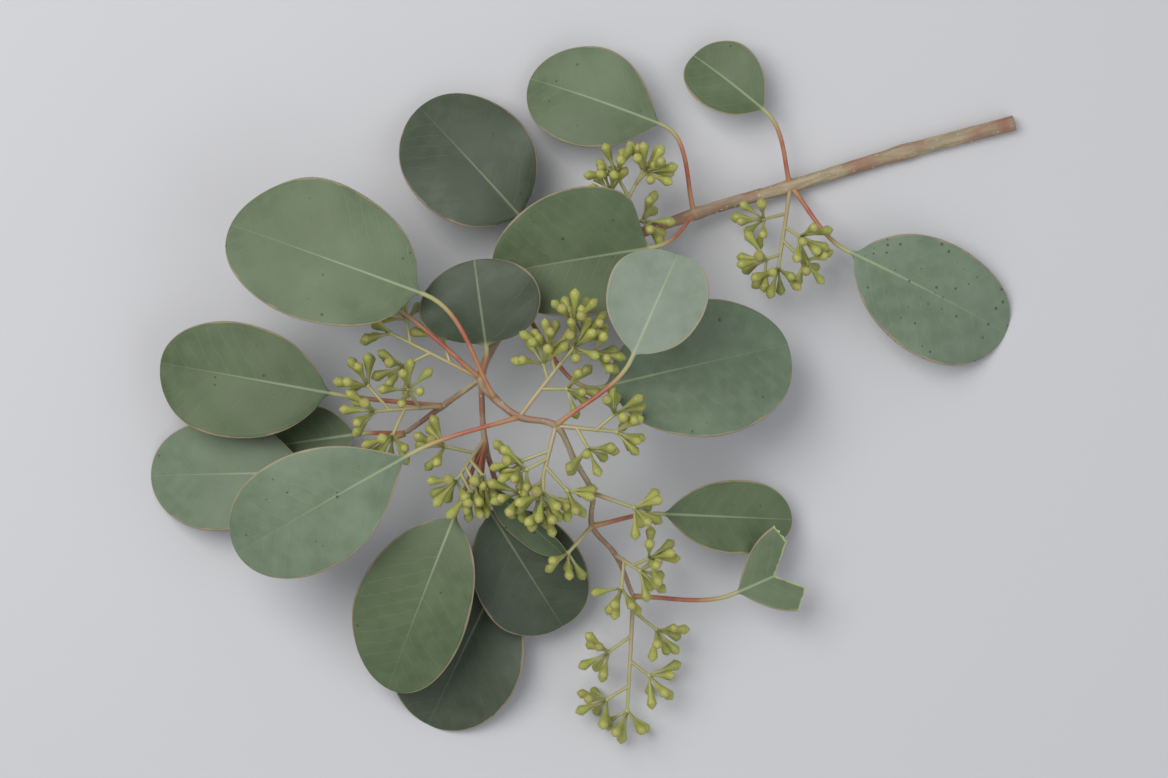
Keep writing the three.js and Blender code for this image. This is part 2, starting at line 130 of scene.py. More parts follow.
@dataclass(frozen=True)
class Bezier:
    """A curve from its first control point to its last."""

    controls: Array

    LENGTH_STEPS = 60

    @staticmethod
    def _blend(controls: Array, t: Array) -> Array:
        """Returns the points at the shares t of the curve with these controls.

        Args:
            controls: The control points.
            t: The shares.

        Returns:
            The points, one to a row.
        """
        level = [np.broadcast_to(p, (len(t), 3)) for p in controls]
        while len(level) > 1:
            level = [a + (b - a) * t[:, None] for a, b in zip(level, level[1:])]
        return level[0]

    def at(self, t: Array) -> Array:
        """Returns the points at the shares t of the curve."""
        return self._blend(self.controls, np.atleast_1d(t))

    def along(self, t: Array) -> Array:
        """Returns the directions of the curve at the shares t of it."""
        return unit(self._blend(np.diff(self.controls, axis=0), np.atleast_1d(t)))

    def length(self) -> float:
        """Returns the length of the curve."""
        points = self.at(np.linspace(0, 1, self.LENGTH_STEPS))
        return float(np.linalg.norm(np.diff(points, axis=0), axis=1).sum())


def carried_normals(points: Array, first: Array = UP) -> tuple[Array, Array, Array]:
    """Carries a normal along a path without twisting it.

    Args:
        points: The points of the path, one to a row.
        first: Which way the first normal should lean.

    Returns:
        The directions along the path, to its right, and of its normal, one to a row.
    """
    reach = np.vstack([points[:1], points, points[-1:]])
    along = unit(reach[2:] - reach[:-2])
    normals = np.empty_like(points)
    normal = first
    for i, direction in enumerate(along):
        normal = unit(normal - direction * normal.dot(direction))
        normals[i] = normal
    return along, np.cross(along, normals), normals


@dataclass(frozen=True)
class Heading:
    """A place with a direction, and two directions across it."""

    at: Array
    along: Array
    right: Array
    normal: Array

    STEEP = 0.9

    @classmethod
    def towards(cls, at: Array, along: Array) -> "Heading":
        """Makes the heading of a direction at a place.

        Args:
            at: The place.
            along: The direction, at length 1.

        Returns:
            The heading.
        """
        across = np.array([1.0, 0.0, 0.0]) if abs(along[2]) > cls.STEEP else UP
        normal = unit(across - along * across.dot(along))
        return cls(at, along, np.cross(along, normal), normal)

    def leaning(self, angle: float, azimuth: float) -> Array:
        """Returns the direction at an angle to this one, turned about it by azimuth."""
        across = self.right * math.cos(azimuth) + self.normal * math.sin(azimuth)
        return self.along * math.cos(angle) + across * math.sin(angle)


# Meshes


def linked_object(name: str, data: bpy.types.ID) -> bpy.types.Object:
    """Puts a new object with its data into the scene.

    Args:
        name: The name of the object.
        data: Its data.

    Returns:
        The object.
    """
    thing = bpy.data.objects.new(name, data)
    bpy.context.scene.collection.objects.link(thing)
    return thing


def new_mesh(name: str, points: Array, edges: Sequence[tuple[int, int]], faces: Faces,
             values: dict[str, Array]) -> bpy.types.Mesh:
    """Makes a smooth mesh that carries values at its points.

    Args:
        name: The name of the mesh.
        points: Its points, in metres, one to a row.
        edges: Its edges that belong to no face.
        faces: Its faces.
        values: The numbers or vectors that its points carry, one to a row, by name.

    Returns:
        The mesh.
    """
    mesh = bpy.data.meshes.new(name)
    mesh.from_pydata(points.tolist(), edges, faces)
    for value_name, value in values.items():
        kind, key = ("FLOAT", "value") if value.ndim == 1 else ("FLOAT_VECTOR", "vector")
        attribute = mesh.attributes.new(value_name, kind, "POINT")
        attribute.data.foreach_set(key, value.astype(np.float32).ravel())
    mesh.polygons.foreach_set("use_smooth", [True] * len(mesh.polygons))
    mesh.update()
    return mesh


@dataclass
class Skin:
    """Points and faces that become one mesh, with values that its materials read."""

    points: Array
    faces: Faces
    values: dict[str, Array] = field(default_factory=dict)

    def to_mesh(self, name: str) -> bpy.types.Mesh:
        """Makes the mesh, in metres in the frame, with smooth faces."""
        return new_mesh(name, to_frame(self.points), [], self.faces, self.values)


def ring_faces(rings: int, size: int) -> Faces:
    """Lists the quads between rings of points, which run round over the top from the left.

    Args:
        rings: How many rings there are.
        size: How many points a ring has.

    Returns:
        The faces, pointing outwards.
    """
    faces = []
    for i in range(rings - 1):
        here = i * size
        for j in range(size):
            k = (j + 1) % size
            faces.append((here + j, here + k, here + size + k, here + size + j))
    return faces


def all_round(right: Array, normal: Array, angles: Array) -> Array:
    """Returns, for each place of a path, the directions at these angles from its right."""
    return right[:, None] * np.cos(angles)[None, :, None] + normal[:, None] * np.sin(angles)[None, :, None]


def tube(points: Array, radii: Array, sides: int) -> tuple[Array, Faces]:
    """Makes a round tube along a path, closed at both ends.

    Args:
        points: The points of the path.
        radii: The radius at each of them.
        sides: How many sides the tube has.

    Returns:
        The points, ring by ring, and the faces.
    """
    _, right, normal = carried_normals(points)
    angles = math.pi * (1 - (2 * np.arange(sides) + 1) / sides)
    rings = points[:, None] + all_round(right, normal, angles) * radii[:, None, None]
    faces = ring_faces(len(points), sides)
    faces.append(tuple(reversed(range(sides))))
    last = (len(points) - 1) * sides
    faces.append(tuple(range(last, last + sides)))
    return rings.reshape(-1, 3), faces


def finished_piece(name: str, mesh: bpy.types.Mesh, replaced: str) -> bpy.types.Object:
    """Puts a piece into the scene in place of a node of the frame.

    Args:
        name: The name of the piece.
        mesh: Its mesh, in the frame.
        replaced: The node that it stands for.

    Returns:
        The piece.
    """
    piece = linked_object(name, mesh)
    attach(piece, "root")
    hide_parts(replaced)
    log.info("%s stands for %s with %d faces", name, replaced, len(mesh.polygons))
    return piece


def evaluated_mesh(holder: bpy.types.Object) -> bpy.types.Mesh:
    """Turns what an object's modifiers make into a plain mesh, and removes the object.

    Args:
        holder: The object with its modifiers.

    Returns:
        The mesh.
    """
    graph = bpy.context.evaluated_depsgraph_get()
    mesh = bpy.data.meshes.new_from_object(holder.evaluated_get(graph), depsgraph=graph)
    bpy.data.objects.remove(holder)
    return mesh


# Node trees


class Graph:
    """Adds nodes to a node tree and links them, a call for each node."""

    def __init__(self, tree: bpy.types.NodeTree) -> None:
        """Takes the tree that the nodes go into."""
        self.tree = tree

    def feed(self, socket: Socket, value: Value) -> None:
        """Links a socket to another, or sets its own value.

        Args:
            socket: The socket that is fed.
            value: What feeds it: another socket, or its value.
        """
        if isinstance(value, bpy.types.NodeSocket):
            self.tree.links.new(value, socket)
        else:
            socket.default_value = value

    def add(self, kind: str, inputs: Inputs, **settings: object) -> bpy.types.Node:
        """Adds a node.

        Args:
            kind: The node's type.
            inputs: Its input sockets' names or numbers, with what feeds them.
            **settings: Its own properties.

        Returns:
            The node.
        """
        node = self.tree.nodes.new(kind)
        for name, value in settings.items():
            setattr(node, name, value)
        for name, value in inputs.items():
            self.feed(node.inputs[name], value)
        return node

    def group(self, tree: bpy.types.NodeTree, inputs: Inputs) -> Socket:
        """Places a node group, feeds its inputs and returns what it puts out."""
        return self.add("ShaderNodeGroup", inputs, node_tree=tree).outputs[0]

    def attribute(self, name: str, output: str = "Fac") -> Socket:
        """Returns a value that the mesh carries."""
        return self.add("ShaderNodeAttribute", {}, attribute_name=name).outputs[output]

    def math(self, operation: str, *values: Value) -> Socket:
        """Returns the result of a Math node on up to three values."""
        return self.add("ShaderNodeMath", dict(enumerate(values)), operation=operation).outputs[0]

    def times(self, value: Value, factor: Value) -> Socket:
        """Returns the product of two values."""
        return self.math("MULTIPLY", value, factor)

    def plus(self, value: Value, other: Value) -> Socket:
        """Returns the sum of two values."""
        return self.math("ADD", value, other)

    def minus(self, value: Value, other: Value) -> Socket:
        """Returns the difference of two values."""
        return self.math("SUBTRACT", value, other)

    def ramp(self, value: Value, low: Value, high: Value, start: Value = 0.0, end: Value = 1.0) -> Socket:
        """Returns start where a value is low and end where it is high, with a smooth rise."""
        inputs = {"Value": value, "From Min": low, "From Max": high, "To Min": start, "To Max": end}
        return self.add("ShaderNodeMapRange", inputs, interpolation_type="SMOOTHSTEP").outputs["Result"]

    def fall(self, value: Value, low: Value, high: Value) -> Socket:
        """Returns 1 where a value is low and 0 where it is high, with a smooth fall."""
        return self.ramp(value, low, high, 1.0, 0.0)

    def spread(self, share: Value, start: float, end: float) -> Socket:
        """Returns the value between start and end at a share from 0 to 1."""
        return self.ramp(share, 0.0, 1.0, start, end)

    def near(self, value: Value, middle: float, core: float, edge: float) -> Socket:
        """Returns 1 within core of a middle value and 0 beyond edge of it."""
        return self.fall(self.math("ABSOLUTE", self.minus(value, middle)), core, edge)

    def mix(self, share: Value, low: Value, high: Value) -> Socket:
        """Returns the colour between two colours at a share."""
        inputs = {"Factor": share, 6: low, 7: high}
        return self.add("ShaderNodeMix", inputs, data_type="RGBA").outputs[2]

    def paint(self, under: Value, colour: Colour, mask: Value, strength: Value) -> Socket:
        """Returns the colour under with another laid over it by a mask, times a strength."""
        return self.mix(self.times(mask, strength), under, linear(colour))

    def random(self, low: float, high: float, seed: Value) -> Socket:
        """Returns a random number from low to high for each element of a geometry."""
        inputs = {2: low, 3: high, "Seed": seed}
        return self.add("FunctionNodeRandomValue", inputs, data_type="FLOAT").outputs[1]

    def stored(self, geometry: Socket, name: str, value: Value, domain: str) -> Socket:
        """Returns a geometry that carries a value by name on each element of a domain.

        Args:
            geometry: The geometry.
            name: The name of the value.
            value: The value.
            domain: The domain that carries it.

        Returns:
            The geometry with the value.
        """
        inputs = {"Geometry": geometry, "Name": name, "Value": value}
        node = self.add("GeometryNodeStoreNamedAttribute", inputs, data_type="FLOAT", domain=domain)
        return node.outputs["Geometry"]

    def realized(self, instances: Socket) -> Socket:
        """Returns instances as plain geometry."""
        return self.add("GeometryNodeRealizeInstances", {"Geometry": instances}).outputs["Geometry"]

    def joined(self, *geometries: Socket) -> Socket:
        """Returns geometries as one.

        Args:
            *geometries: The geometries.

        Returns:
            The joined geometry.
        """
        node = self.add("GeometryNodeJoinGeometry", {})
        for geometry in geometries:
            self.tree.links.new(geometry, node.inputs[0])
        return node.outputs[0]

    def dressed(self, geometry: Socket, material: Socket) -> Socket:
        """Returns a geometry with smooth faces and a material.

        Args:
            geometry: The geometry.
            material: The material.

        Returns:
            The finished geometry.
        """
        smooth = self.add("GeometryNodeSetShadeSmooth", {"Geometry": geometry}).outputs["Geometry"]
        inputs = {"Geometry": smooth, "Material": material}
        return self.add("GeometryNodeSetMaterial", inputs).outputs["Geometry"]


Started = tuple[Graph, dict[str, Socket], Socket]


def linear(colour: Colour) -> tuple[float, float, float, float]:
    """Returns a screen colour, from 0 to 255, as the linear colour that shaders take.

    Args:
        colour: The screen colour.

    Returns:
        Its linear red, green and blue, and 1 for opaque.
    """

    def channel(value: int) -> float:
        """Returns one channel as a linear value."""
        share = value / 255
        return share / 12.92 if share <= 0.04045 else ((share + 0.055) / 1.055) ** 2.4

    return (*map(channel, colour), 1.0)


def start_group(tree: bpy.types.NodeTree, inputs: Sockets, output: tuple[str, str]) -> Started:
    """Gives a node group its sockets.

    Args:
        tree: The empty tree of the group.
        inputs: The names of its inputs, with their socket types and defaults.
        output: The name and the socket type of its output.

    Returns:
        The graph of the group, its inputs by name, and the socket that takes its result.
    """
    for name, (kind, default) in inputs.items():
        socket = tree.interface.new_socket(name, in_out="INPUT", socket_type=kind)
        if default is not None:
            socket.default_value = default
    tree.interface.new_socket(output[0], in_out="OUTPUT", socket_type=output[1])
    start = tree.nodes.new("NodeGroupInput")
    end = tree.nodes.new("NodeGroupOutput")
    return Graph(tree), {socket.name: socket for socket in start.outputs}, end.inputs[0]


def shader_group(name: str, numbers: dict[str, float], output: str) -> Started:
    """Starts a shader node group that takes a place and some numbers, and puts out a number.

    Args:
        name: The name of the group.
        numbers: The names of its numbers, with their defaults.
        output: The name of its output.

    Returns:
        The graph of the group, its inputs by name, and the socket that takes its result.
    """
    inputs = {"Place": ("NodeSocketVector", None)}
    inputs |= {number: ("NodeSocketFloat", default) for number, default in numbers.items()}
    tree = bpy.data.node_groups.new(name, "ShaderNodeTree")
    return start_group(tree, inputs, (output, "NodeSocketFloat"))


def geometry_group(name: str, inputs: Sockets) -> Started:
    """Starts a geometry node group that takes a geometry and other inputs, and puts out a geometry.

    Args:
        name: The name of the group.
        inputs: The names of its other inputs, with their socket types and defaults.

    Returns:
        The graph of the group, its inputs by name, and the socket that takes its result.
    """
    tree = bpy.data.node_groups.new(name, "GeometryNodeTree")
    inputs = {"Geometry": ("NodeSocketGeometry", None), **inputs}
    return start_group(tree, inputs, ("Geometry", "NodeSocketGeometry"))


def grown(mesh: bpy.types.Mesh, tree: bpy.types.NodeTree, values: dict[str, object]) -> bpy.types.Mesh:
    """Runs a geometry node group on a mesh.

    Args:
        mesh: The mesh that it starts from.
        tree: The tree of the group.
        values: The group's inputs by name.

    Returns:
        The plain mesh that the group makes.
    """
    holder = linked_object(mesh.name, mesh)
    modifier = holder.modifiers.new("grow", "NODES")
    modifier.node_group = tree
    for item in tree.interface.items_tree:
        if item.in_out == "INPUT" and item.name in values:
            modifier[item.identifier] = values[item.name]
    return evaluated_mesh(holder)


# Effects that the finishes share


@dataclass(frozen=True)
class Patches:
    """Soft patches: how fine they are, and the noise at which they start and are full."""

    fineness: float
    low: float = 0.35
    high: float = 0.65


@dataclass(frozen=True)
class Specks:
    """Scattered dots: how fine their cells are, their size there and the share of cells with one."""

    fineness: float
    size: float
    amount: float


class Effects:
    """The effects that more than one finish uses, each a shader node group made once."""

    MOTTLE_DETAIL = 3.0
    GRAIN_DETAIL = 4.0
    SMALLEST_SPECK = 0.4
    SPECK_CORE = 0.6

    def __init__(self) -> None:
        """Makes the groups."""
        self.mottle = self._mottle()
        self.specks = self._specks()
        self.grain = self._grain()

    def _mottle(self) -> bpy.types.NodeTree:
        """Makes soft patches: Share runs from 0 to 1 over the surface.

        Returns:
            The tree of the group.
        """
        numbers = {"Scale": 50.0, "Low": 0.35, "High": 0.65}
        graph, start, end = shader_group("mottle", numbers, "Share")
        inputs = {"Vector": start["Place"], "Scale": start["Scale"], "Detail": self.MOTTLE_DETAIL}
        noise = graph.add("ShaderNodeTexNoise", inputs)
        graph.feed(end, graph.ramp(noise.outputs["Fac"], start["Low"], start["High"]))
        return graph.tree

    def _specks(self) -> bpy.types.NodeTree:
        """Makes scattered dots: Share is 1 on a dot, and Amount is the share of cells with one.

        Returns:
            The tree of the group.
        """
        graph, start, end = shader_group("specks", {"Scale": 400.0, "Size": 0.3, "Amount": 0.2}, "Share")
        cells = graph.add("ShaderNodeTexVoronoi", {"Vector": start["Place"], "Scale": start["Scale"]})
        draws = graph.add("ShaderNodeSeparateColor", {"Color": cells.outputs["Color"]})
        chosen = graph.math("LESS_THAN", draws.outputs[0], start["Amount"])
        reach = graph.times(start["Size"], graph.plus(self.SMALLEST_SPECK, draws.outputs[1]))
        dot = graph.fall(cells.outputs["Distance"], graph.times(reach, self.SPECK_CORE), reach)
        graph.feed(end, graph.times(dot, chosen))
        return graph.tree

    def _grain(self) -> bpy.types.NodeTree:
        """Makes fine relief: Height runs from 0 to Depth over the surface.

        Returns:
            The tree of the group.
        """
        graph, start, end = shader_group("fine_grain", {"Scale": 1500.0, "Depth": 1.0}, "Height")
        inputs = {"Vector": start["Place"], "Scale": start["Scale"], "Detail": self.GRAIN_DETAIL}
        noise = graph.add("ShaderNodeTexNoise", inputs)
        graph.feed(end, graph.times(noise.outputs["Fac"], start["Depth"]))
        return graph.tree


class Paint:
    """A material in the making: its graph, its shader and the place on the object, in metres."""

    def __init__(self, name: str, effects: Effects) -> None:
        """Starts a material, which may use the shared effects.

        Args:
            name: The name of the material.
            effects: The shared effects.
        """
        self.effects = effects
        self.material = bpy.data.materials.new(name)
        self.material.use_nodes = True
        self.graph = Graph(self.material.node_tree)
        self.shader = self.material.node_tree.nodes["Principled BSDF"]
        self.place = self.graph.add("ShaderNodeTexCoord", {}).outputs["Object"]

    def set(self, name: str, value: Value) -> None:
        """Feeds one of the shader's inputs."""
        self.graph.feed(self.shader.inputs[name], value)

    def patches(self, look: Patches, place: Union[Socket, None] = None) -> Socket:
        """Returns a mask of soft patches, from 0 to 1."""
        inputs = {"Place": place or self.place, "Scale": look.fineness, "Low": look.low, "High": look.high}
        return self.graph.group(self.effects.mottle, inputs)

    def specks(self, look: Specks) -> Socket:
        """Returns a mask that is 1 on scattered dots."""
        inputs = {"Place": self.place, "Scale": look.fineness, "Size": look.size, "Amount": look.amount}
        return self.graph.group(self.effects.specks, inputs)

    def grain(self, fineness: float, depth: float = 1.0, place: Union[Socket, None] = None) -> Socket:
        """Returns the height of a fine grain, from 0 to its depth."""
        inputs = {"Place": place or self.place, "Scale": fineness, "Depth": depth}
        return self.graph.group(self.effects.grain, inputs)

    def emboss(self, height: Socket, strength: float, reach: float) -> None:
        """Gives the surface the relief of a height, which reaches so many metres."""
        inputs = {"Strength": strength, "Distance": reach, "Height": height}
        self.set("Normal", self.graph.add("ShaderNodeBump", inputs).outputs["Normal"])


# Finishes


class Finish:
    """A finish, which makes one material."""

    name: str

    def make(self, effects: Effects) -> bpy.types.Material:
        """Makes the material.

        Args:
            effects: The shared effects.

        Returns:
            The material.
        """
        paint = Paint(self.name, effects)
        self.lay(paint)
        return paint.material

    def lay(self, paint: Paint) -> None:
        """Feeds the inputs of the shader."""
        raise NotImplementedError


@dataclass(frozen=True)
class LeafFinish(Finish):
    """The waxy skin of a leaf, its veins, its margin and its stalk, with lengths in millimetres."""

    name: str
    deep: Colour
    light: Colour
    bloom: Colour
    specks: float = 0.05
    rib_strength: float = 0.72
    vein_strength: float = 0.09
    vein: Colour = (146, 158, 122)
    margin: Colour = (158, 138, 110)
    torn: Colour = (176, 186, 122)
    stalk: Colour = (172, 144, 100)
    stalk_red: Colour = (160, 86, 70)
    stalk_neck: Colour = (160, 160, 112)
    speck: Colour = (52, 48, 36)

    PATCHES = Patches(45.0, 0.2, 0.8)
    RUBBING = Patches(210.0, 0.3, 0.75)
    BROWNING = Patches(120.0, 0.45, 0.7)
    WANDER = Patches(90.0, 0.2, 0.8)
    SPECK_FINENESS = 420.0
    SPECK_SIZE = 0.22
    BLADE_START = 2.5

    BLOOM_STRENGTH = 0.4
    UNDERSIDE_STRENGTH = 0.35
    MARGIN_STRENGTH = 0.75
    SPECK_STRENGTH = 0.75
    TORN_STRENGTH = 0.9

    RIB_RUN = (0.0, 58.0)
    RIB_HALF = (0.46, 0.12)
    RIB_CORE = 0.55
    RIB_EDGE = 1.25
    RIB_FADE = (4.0, 60.0)
    RIB_LEFT = 0.28
    VEIN_SPACING = 5.2
    VEIN_LEAN = 0.75
    VEIN_WANDER = 0.5
    VEIN_WIDTH = (0.015, 0.05)
    VEINS_INSIDE = (1.5, 2.2)
    INNER_VEIN_AT = 1.7
    INNER_VEIN_WIDTH = (0.08, 0.24)
    INNER_VEIN_STRENGTH = 0.7
    MARGIN_CORE = 0.25
    MARGIN_EDGE = 0.55
    MARGIN_BROWNED = 0.7

    RED_RISE = (0.0, 0.35, 0.35, 1.0)
    RED_FALL = (0.5, 0.92)
    RED_RUBBED = 0.6
    NECK = (0.6, 1.0)

    ROUGHNESS = (0.5, 0.62)
    RIB_SMOOTHNESS = 0.1
    GRAIN = (1800.0, 0.16)
    VEIN_DEPTH = 0.4
    RELIEF = (0.35, 0.0003)
    SPECULAR = 0.42

    def lay(self, paint: Paint) -> None:
        """Feeds the inputs of the shader.

        Args:
            paint: The material in the making.
        """
        graph = paint.graph
        blade = graph.add("ShaderNodeSeparateXYZ", {0: graph.attribute("blade", "Vector")}).outputs
        along, across = blade[0], graph.math("ABSOLUTE", blade[1])
        from_margin = graph.minus(blade[2], across)
        rubbed = paint.patches(self.RUBBING)
        veins = self._side_veins(paint, along, across, from_margin)
        rib = self._midrib(graph, along, across)
        rib_fading = graph.ramp(along, *self.RIB_FADE, self.rib_strength, self.RIB_LEFT * self.rib_strength)
        dots = paint.specks(Specks(self.SPECK_FINENESS, self.SPECK_SIZE, self.specks))

        skin = paint.patches(self.PATCHES)
        skin = graph.mix(skin, linear(self.deep), linear(self.light))
        skin = graph.paint(skin, self.bloom, rubbed, self.BLOOM_STRENGTH)
        skin = graph.paint(skin, self.bloom, graph.attribute("underside"), self.UNDERSIDE_STRENGTH)
        skin = graph.paint(skin, self.vein, veins, self.vein_strength)
        skin = graph.paint(skin, self.vein, rib, rib_fading)
        skin = graph.paint(skin, self.margin, self._rim(paint, from_margin), self.MARGIN_STRENGTH)
        skin = graph.paint(skin, self.speck, dots, self.SPECK_STRENGTH)
        skin = graph.paint(skin, self.torn, graph.attribute("torn"), self.TORN_STRENGTH)
        on_blade = graph.ramp(along, 0.0, self.BLADE_START)
        paint.set("Base Color", graph.mix(on_blade, self._stalk(graph, rubbed), skin))

        roughness = graph.spread(rubbed, *self.ROUGHNESS)
        paint.set("Roughness", graph.minus(roughness, graph.times(rib, self.RIB_SMOOTHNESS)))
        grain = paint.grain(*self.GRAIN)
        paint.emboss(graph.minus(grain, graph.times(veins, self.VEIN_DEPTH)), *self.RELIEF)
        paint.set("Specular IOR Level", self.SPECULAR)

    def _midrib(self, graph: Graph, along: Socket, across: Socket) -> Socket:
        """Returns a mask that is 1 on the midrib, which narrows towards the tip."""
        half = graph.ramp(along, *self.RIB_RUN, *self.RIB_HALF)
        return graph.fall(across, graph.times(half, self.RIB_CORE), graph.times(half, self.RIB_EDGE))

    def _side_veins(self, paint: Paint, along: Socket, across: Socket, from_margin: Socket) -> Socket:
        """Draws the side veins and the vein inside the margin.

        Args:
            paint: The material in the making.
            along: The distance along the blade, in millimetres.
            across: The distance from the midrib, in millimetres.
            from_margin: The distance from the margin, in millimetres.

        Returns:
            A mask that is 1 on a vein.
        """
        graph = paint.graph
        wander = graph.times(paint.patches(self.WANDER), self.VEIN_WANDER)
        climbed = graph.minus(along, graph.times(across, self.VEIN_LEAN))
        turn = graph.plus(graph.math("DIVIDE", climbed, self.VEIN_SPACING), wander)
        lines = graph.near(graph.math("FRACT", turn), 0.5, *self.VEIN_WIDTH)
        lines = graph.times(lines, graph.ramp(from_margin, *self.VEINS_INSIDE))
        inner = graph.near(from_margin, self.INNER_VEIN_AT, *self.INNER_VEIN_WIDTH)
        return graph.math("MAXIMUM", lines, graph.times(inner, self.INNER_VEIN_STRENGTH))

    def _rim(self, paint: Paint, from_margin: Socket) -> Socket:
        """Returns a mask that is 1 on the tan margin, which is wider where it has browned.

        Args:
            paint: The material in the making.
            from_margin: The distance from the margin, in millimetres.

        Returns:
            The mask.
        """
        graph = paint.graph
        browned = paint.patches(self.BROWNING)
        edge = graph.plus(self.MARGIN_EDGE, graph.times(browned, self.MARGIN_BROWNED))
        return graph.fall(from_margin, self.MARGIN_CORE, edge)

    def _stalk(self, graph: Graph, rubbed: Socket) -> Socket:
        """Returns the colour of the stalk, red along its middle and pale at the blade.

        Args:
            graph: The graph of the material.
            rubbed: Where the bloom is rubbed off, from 0 to 1.

        Returns:
            The colour.
        """
        up_stalk = graph.attribute("stalk")
        reddening = graph.times(graph.ramp(up_stalk, *self.RED_RISE), graph.fall(up_stalk, *self.RED_FALL))
        reddening = graph.times(reddening, graph.spread(rubbed, 1.0, self.RED_RUBBED))
        stalk = graph.mix(graph.ramp(up_stalk, *self.NECK), linear(self.stalk), linear(self.stalk_neck))
        return graph.mix(reddening, stalk, linear(self.stalk_red))


class LeafTone(Enum):
    """How a leaf looks in its place on the sprig; the darkest tone is painted shade, for leaves that lie in
    shade.
    """

    BLOOM = LeafFinish("leaf_bloom", (88, 104, 80), (104, 121, 96), (118, 133, 112))
    SAGE = LeafFinish("leaf_sage", (78, 93, 64), (93, 109, 79), (106, 120, 94), specks=0.07)
    OLIVE = LeafFinish("leaf_olive", (70, 86, 55), (85, 101, 69), (97, 111, 82), rib_strength=0.62)
    # Painted shade: darker colours, with a fainter midrib and side veins, for leaves that lie in the shade of
    # others.
    SHADE = LeafFinish("leaf_shade", (50, 61, 43), (63, 75, 55), (76, 87, 70), rib_strength=0.4,
                       vein_strength=0.04)
    YOUNG = LeafFinish("leaf_young", (110, 124, 106), (127, 140, 123), (138, 149, 136), specks=0.02)
    SPECKLED = LeafFinish("leaf_speckled", (92, 108, 85), (108, 124, 101), (122, 137, 116), specks=0.34)


@dataclass(frozen=True)
class BarkFinish(Finish):
    """Smooth young bark, tan to grey-olive with reddish stretches."""

    name: str = "sprig_bark"
    tan: Colour = (170, 152, 124)
    olive: Colour = (140, 130, 102)
    red: Colour = (134, 84, 70)
    lenticel: Colour = (192, 176, 146)

    STREAKS = Patches(1.0, 0.35, 0.68)
    REDDENING = Patches(60.0, 0.4, 0.62)
    RED_BY_AGE = (0.55, 0.8)
    MARKS = Specks(520.0, 0.3, 0.22)
    MARK_STRENGTH = 0.6
    ROUGHNESS = (0.5, 0.7)
    GRAIN = 3.0
    RELIEF = (0.5, 0.0003)

    def lay(self, paint: Paint) -> None:
        """Feeds the inputs of the shader.

        Args:
            paint: The material in the making.
        """
        graph = paint.graph
        along_grain = graph.attribute("bark", "Vector")
        streaks = paint.patches(self.STREAKS, along_grain)
        reddened = paint.patches(self.REDDENING)
        marks = paint.specks(self.MARKS)
        bark = graph.mix(streaks, linear(self.olive), linear(self.tan))
        bark = graph.paint(bark, self.red, reddened, graph.spread(graph.attribute("age"), *self.RED_BY_AGE))
        bark = graph.paint(bark, self.lenticel, marks, self.MARK_STRENGTH)
        bark = graph.mix(graph.attribute("lenticel"), bark, linear(self.lenticel))
        paint.set("Base Color", bark)
        paint.set("Roughness", graph.spread(streaks, *self.ROUGHNESS))
        paint.emboss(paint.grain(self.GRAIN, place=along_grain), *self.RELIEF)


@dataclass(frozen=True)
class CutWoodFinish(Finish):
    """The pale wood of the cut end, with its rings and its pith, by shares of its radius."""

    name: str = "cut_wood"
    wood: Colour = (214, 198, 158)
    ring: Colour = (182, 158, 112)
    pith: Colour = (128, 100, 66)

    RINGS = 5.0
    RING_EDGE = (0.55, 0.95)
    RING_STRENGTH = 0.6
    WOBBLE = Patches(700.0)
    WOBBLE_STRENGTH = 0.4
    PITH = (0.1, 0.2)
    UNDER_BARK = (0.84, 0.95, 0.0, 0.8)
    ROUGHNESS = 0.8
    GRAIN = 3000.0
    RELIEF = (0.5, 0.0002)

    def lay(self, paint: Paint) -> None:
        """Feeds the inputs of the shader.

        Args:
            paint: The material in the making.
        """
        graph = paint.graph
        radial = graph.attribute("radial")
        wobble = graph.times(paint.patches(self.WOBBLE), self.WOBBLE_STRENGTH)
        turn = graph.plus(graph.times(radial, self.RINGS), wobble)
        rings = graph.ramp(graph.math("FRACT", turn), *self.RING_EDGE)
        wood = graph.paint(linear(self.wood), self.ring, rings, self.RING_STRENGTH)
        wood = graph.mix(graph.fall(radial, *self.PITH), wood, linear(self.pith))
        wood = graph.mix(graph.ramp(radial, *self.UNDER_BARK), wood, linear(self.pith))
        paint.set("Base Color", wood)
        paint.set("Roughness", self.ROUGHNESS)
        paint.emboss(paint.grain(self.GRAIN), *self.RELIEF)


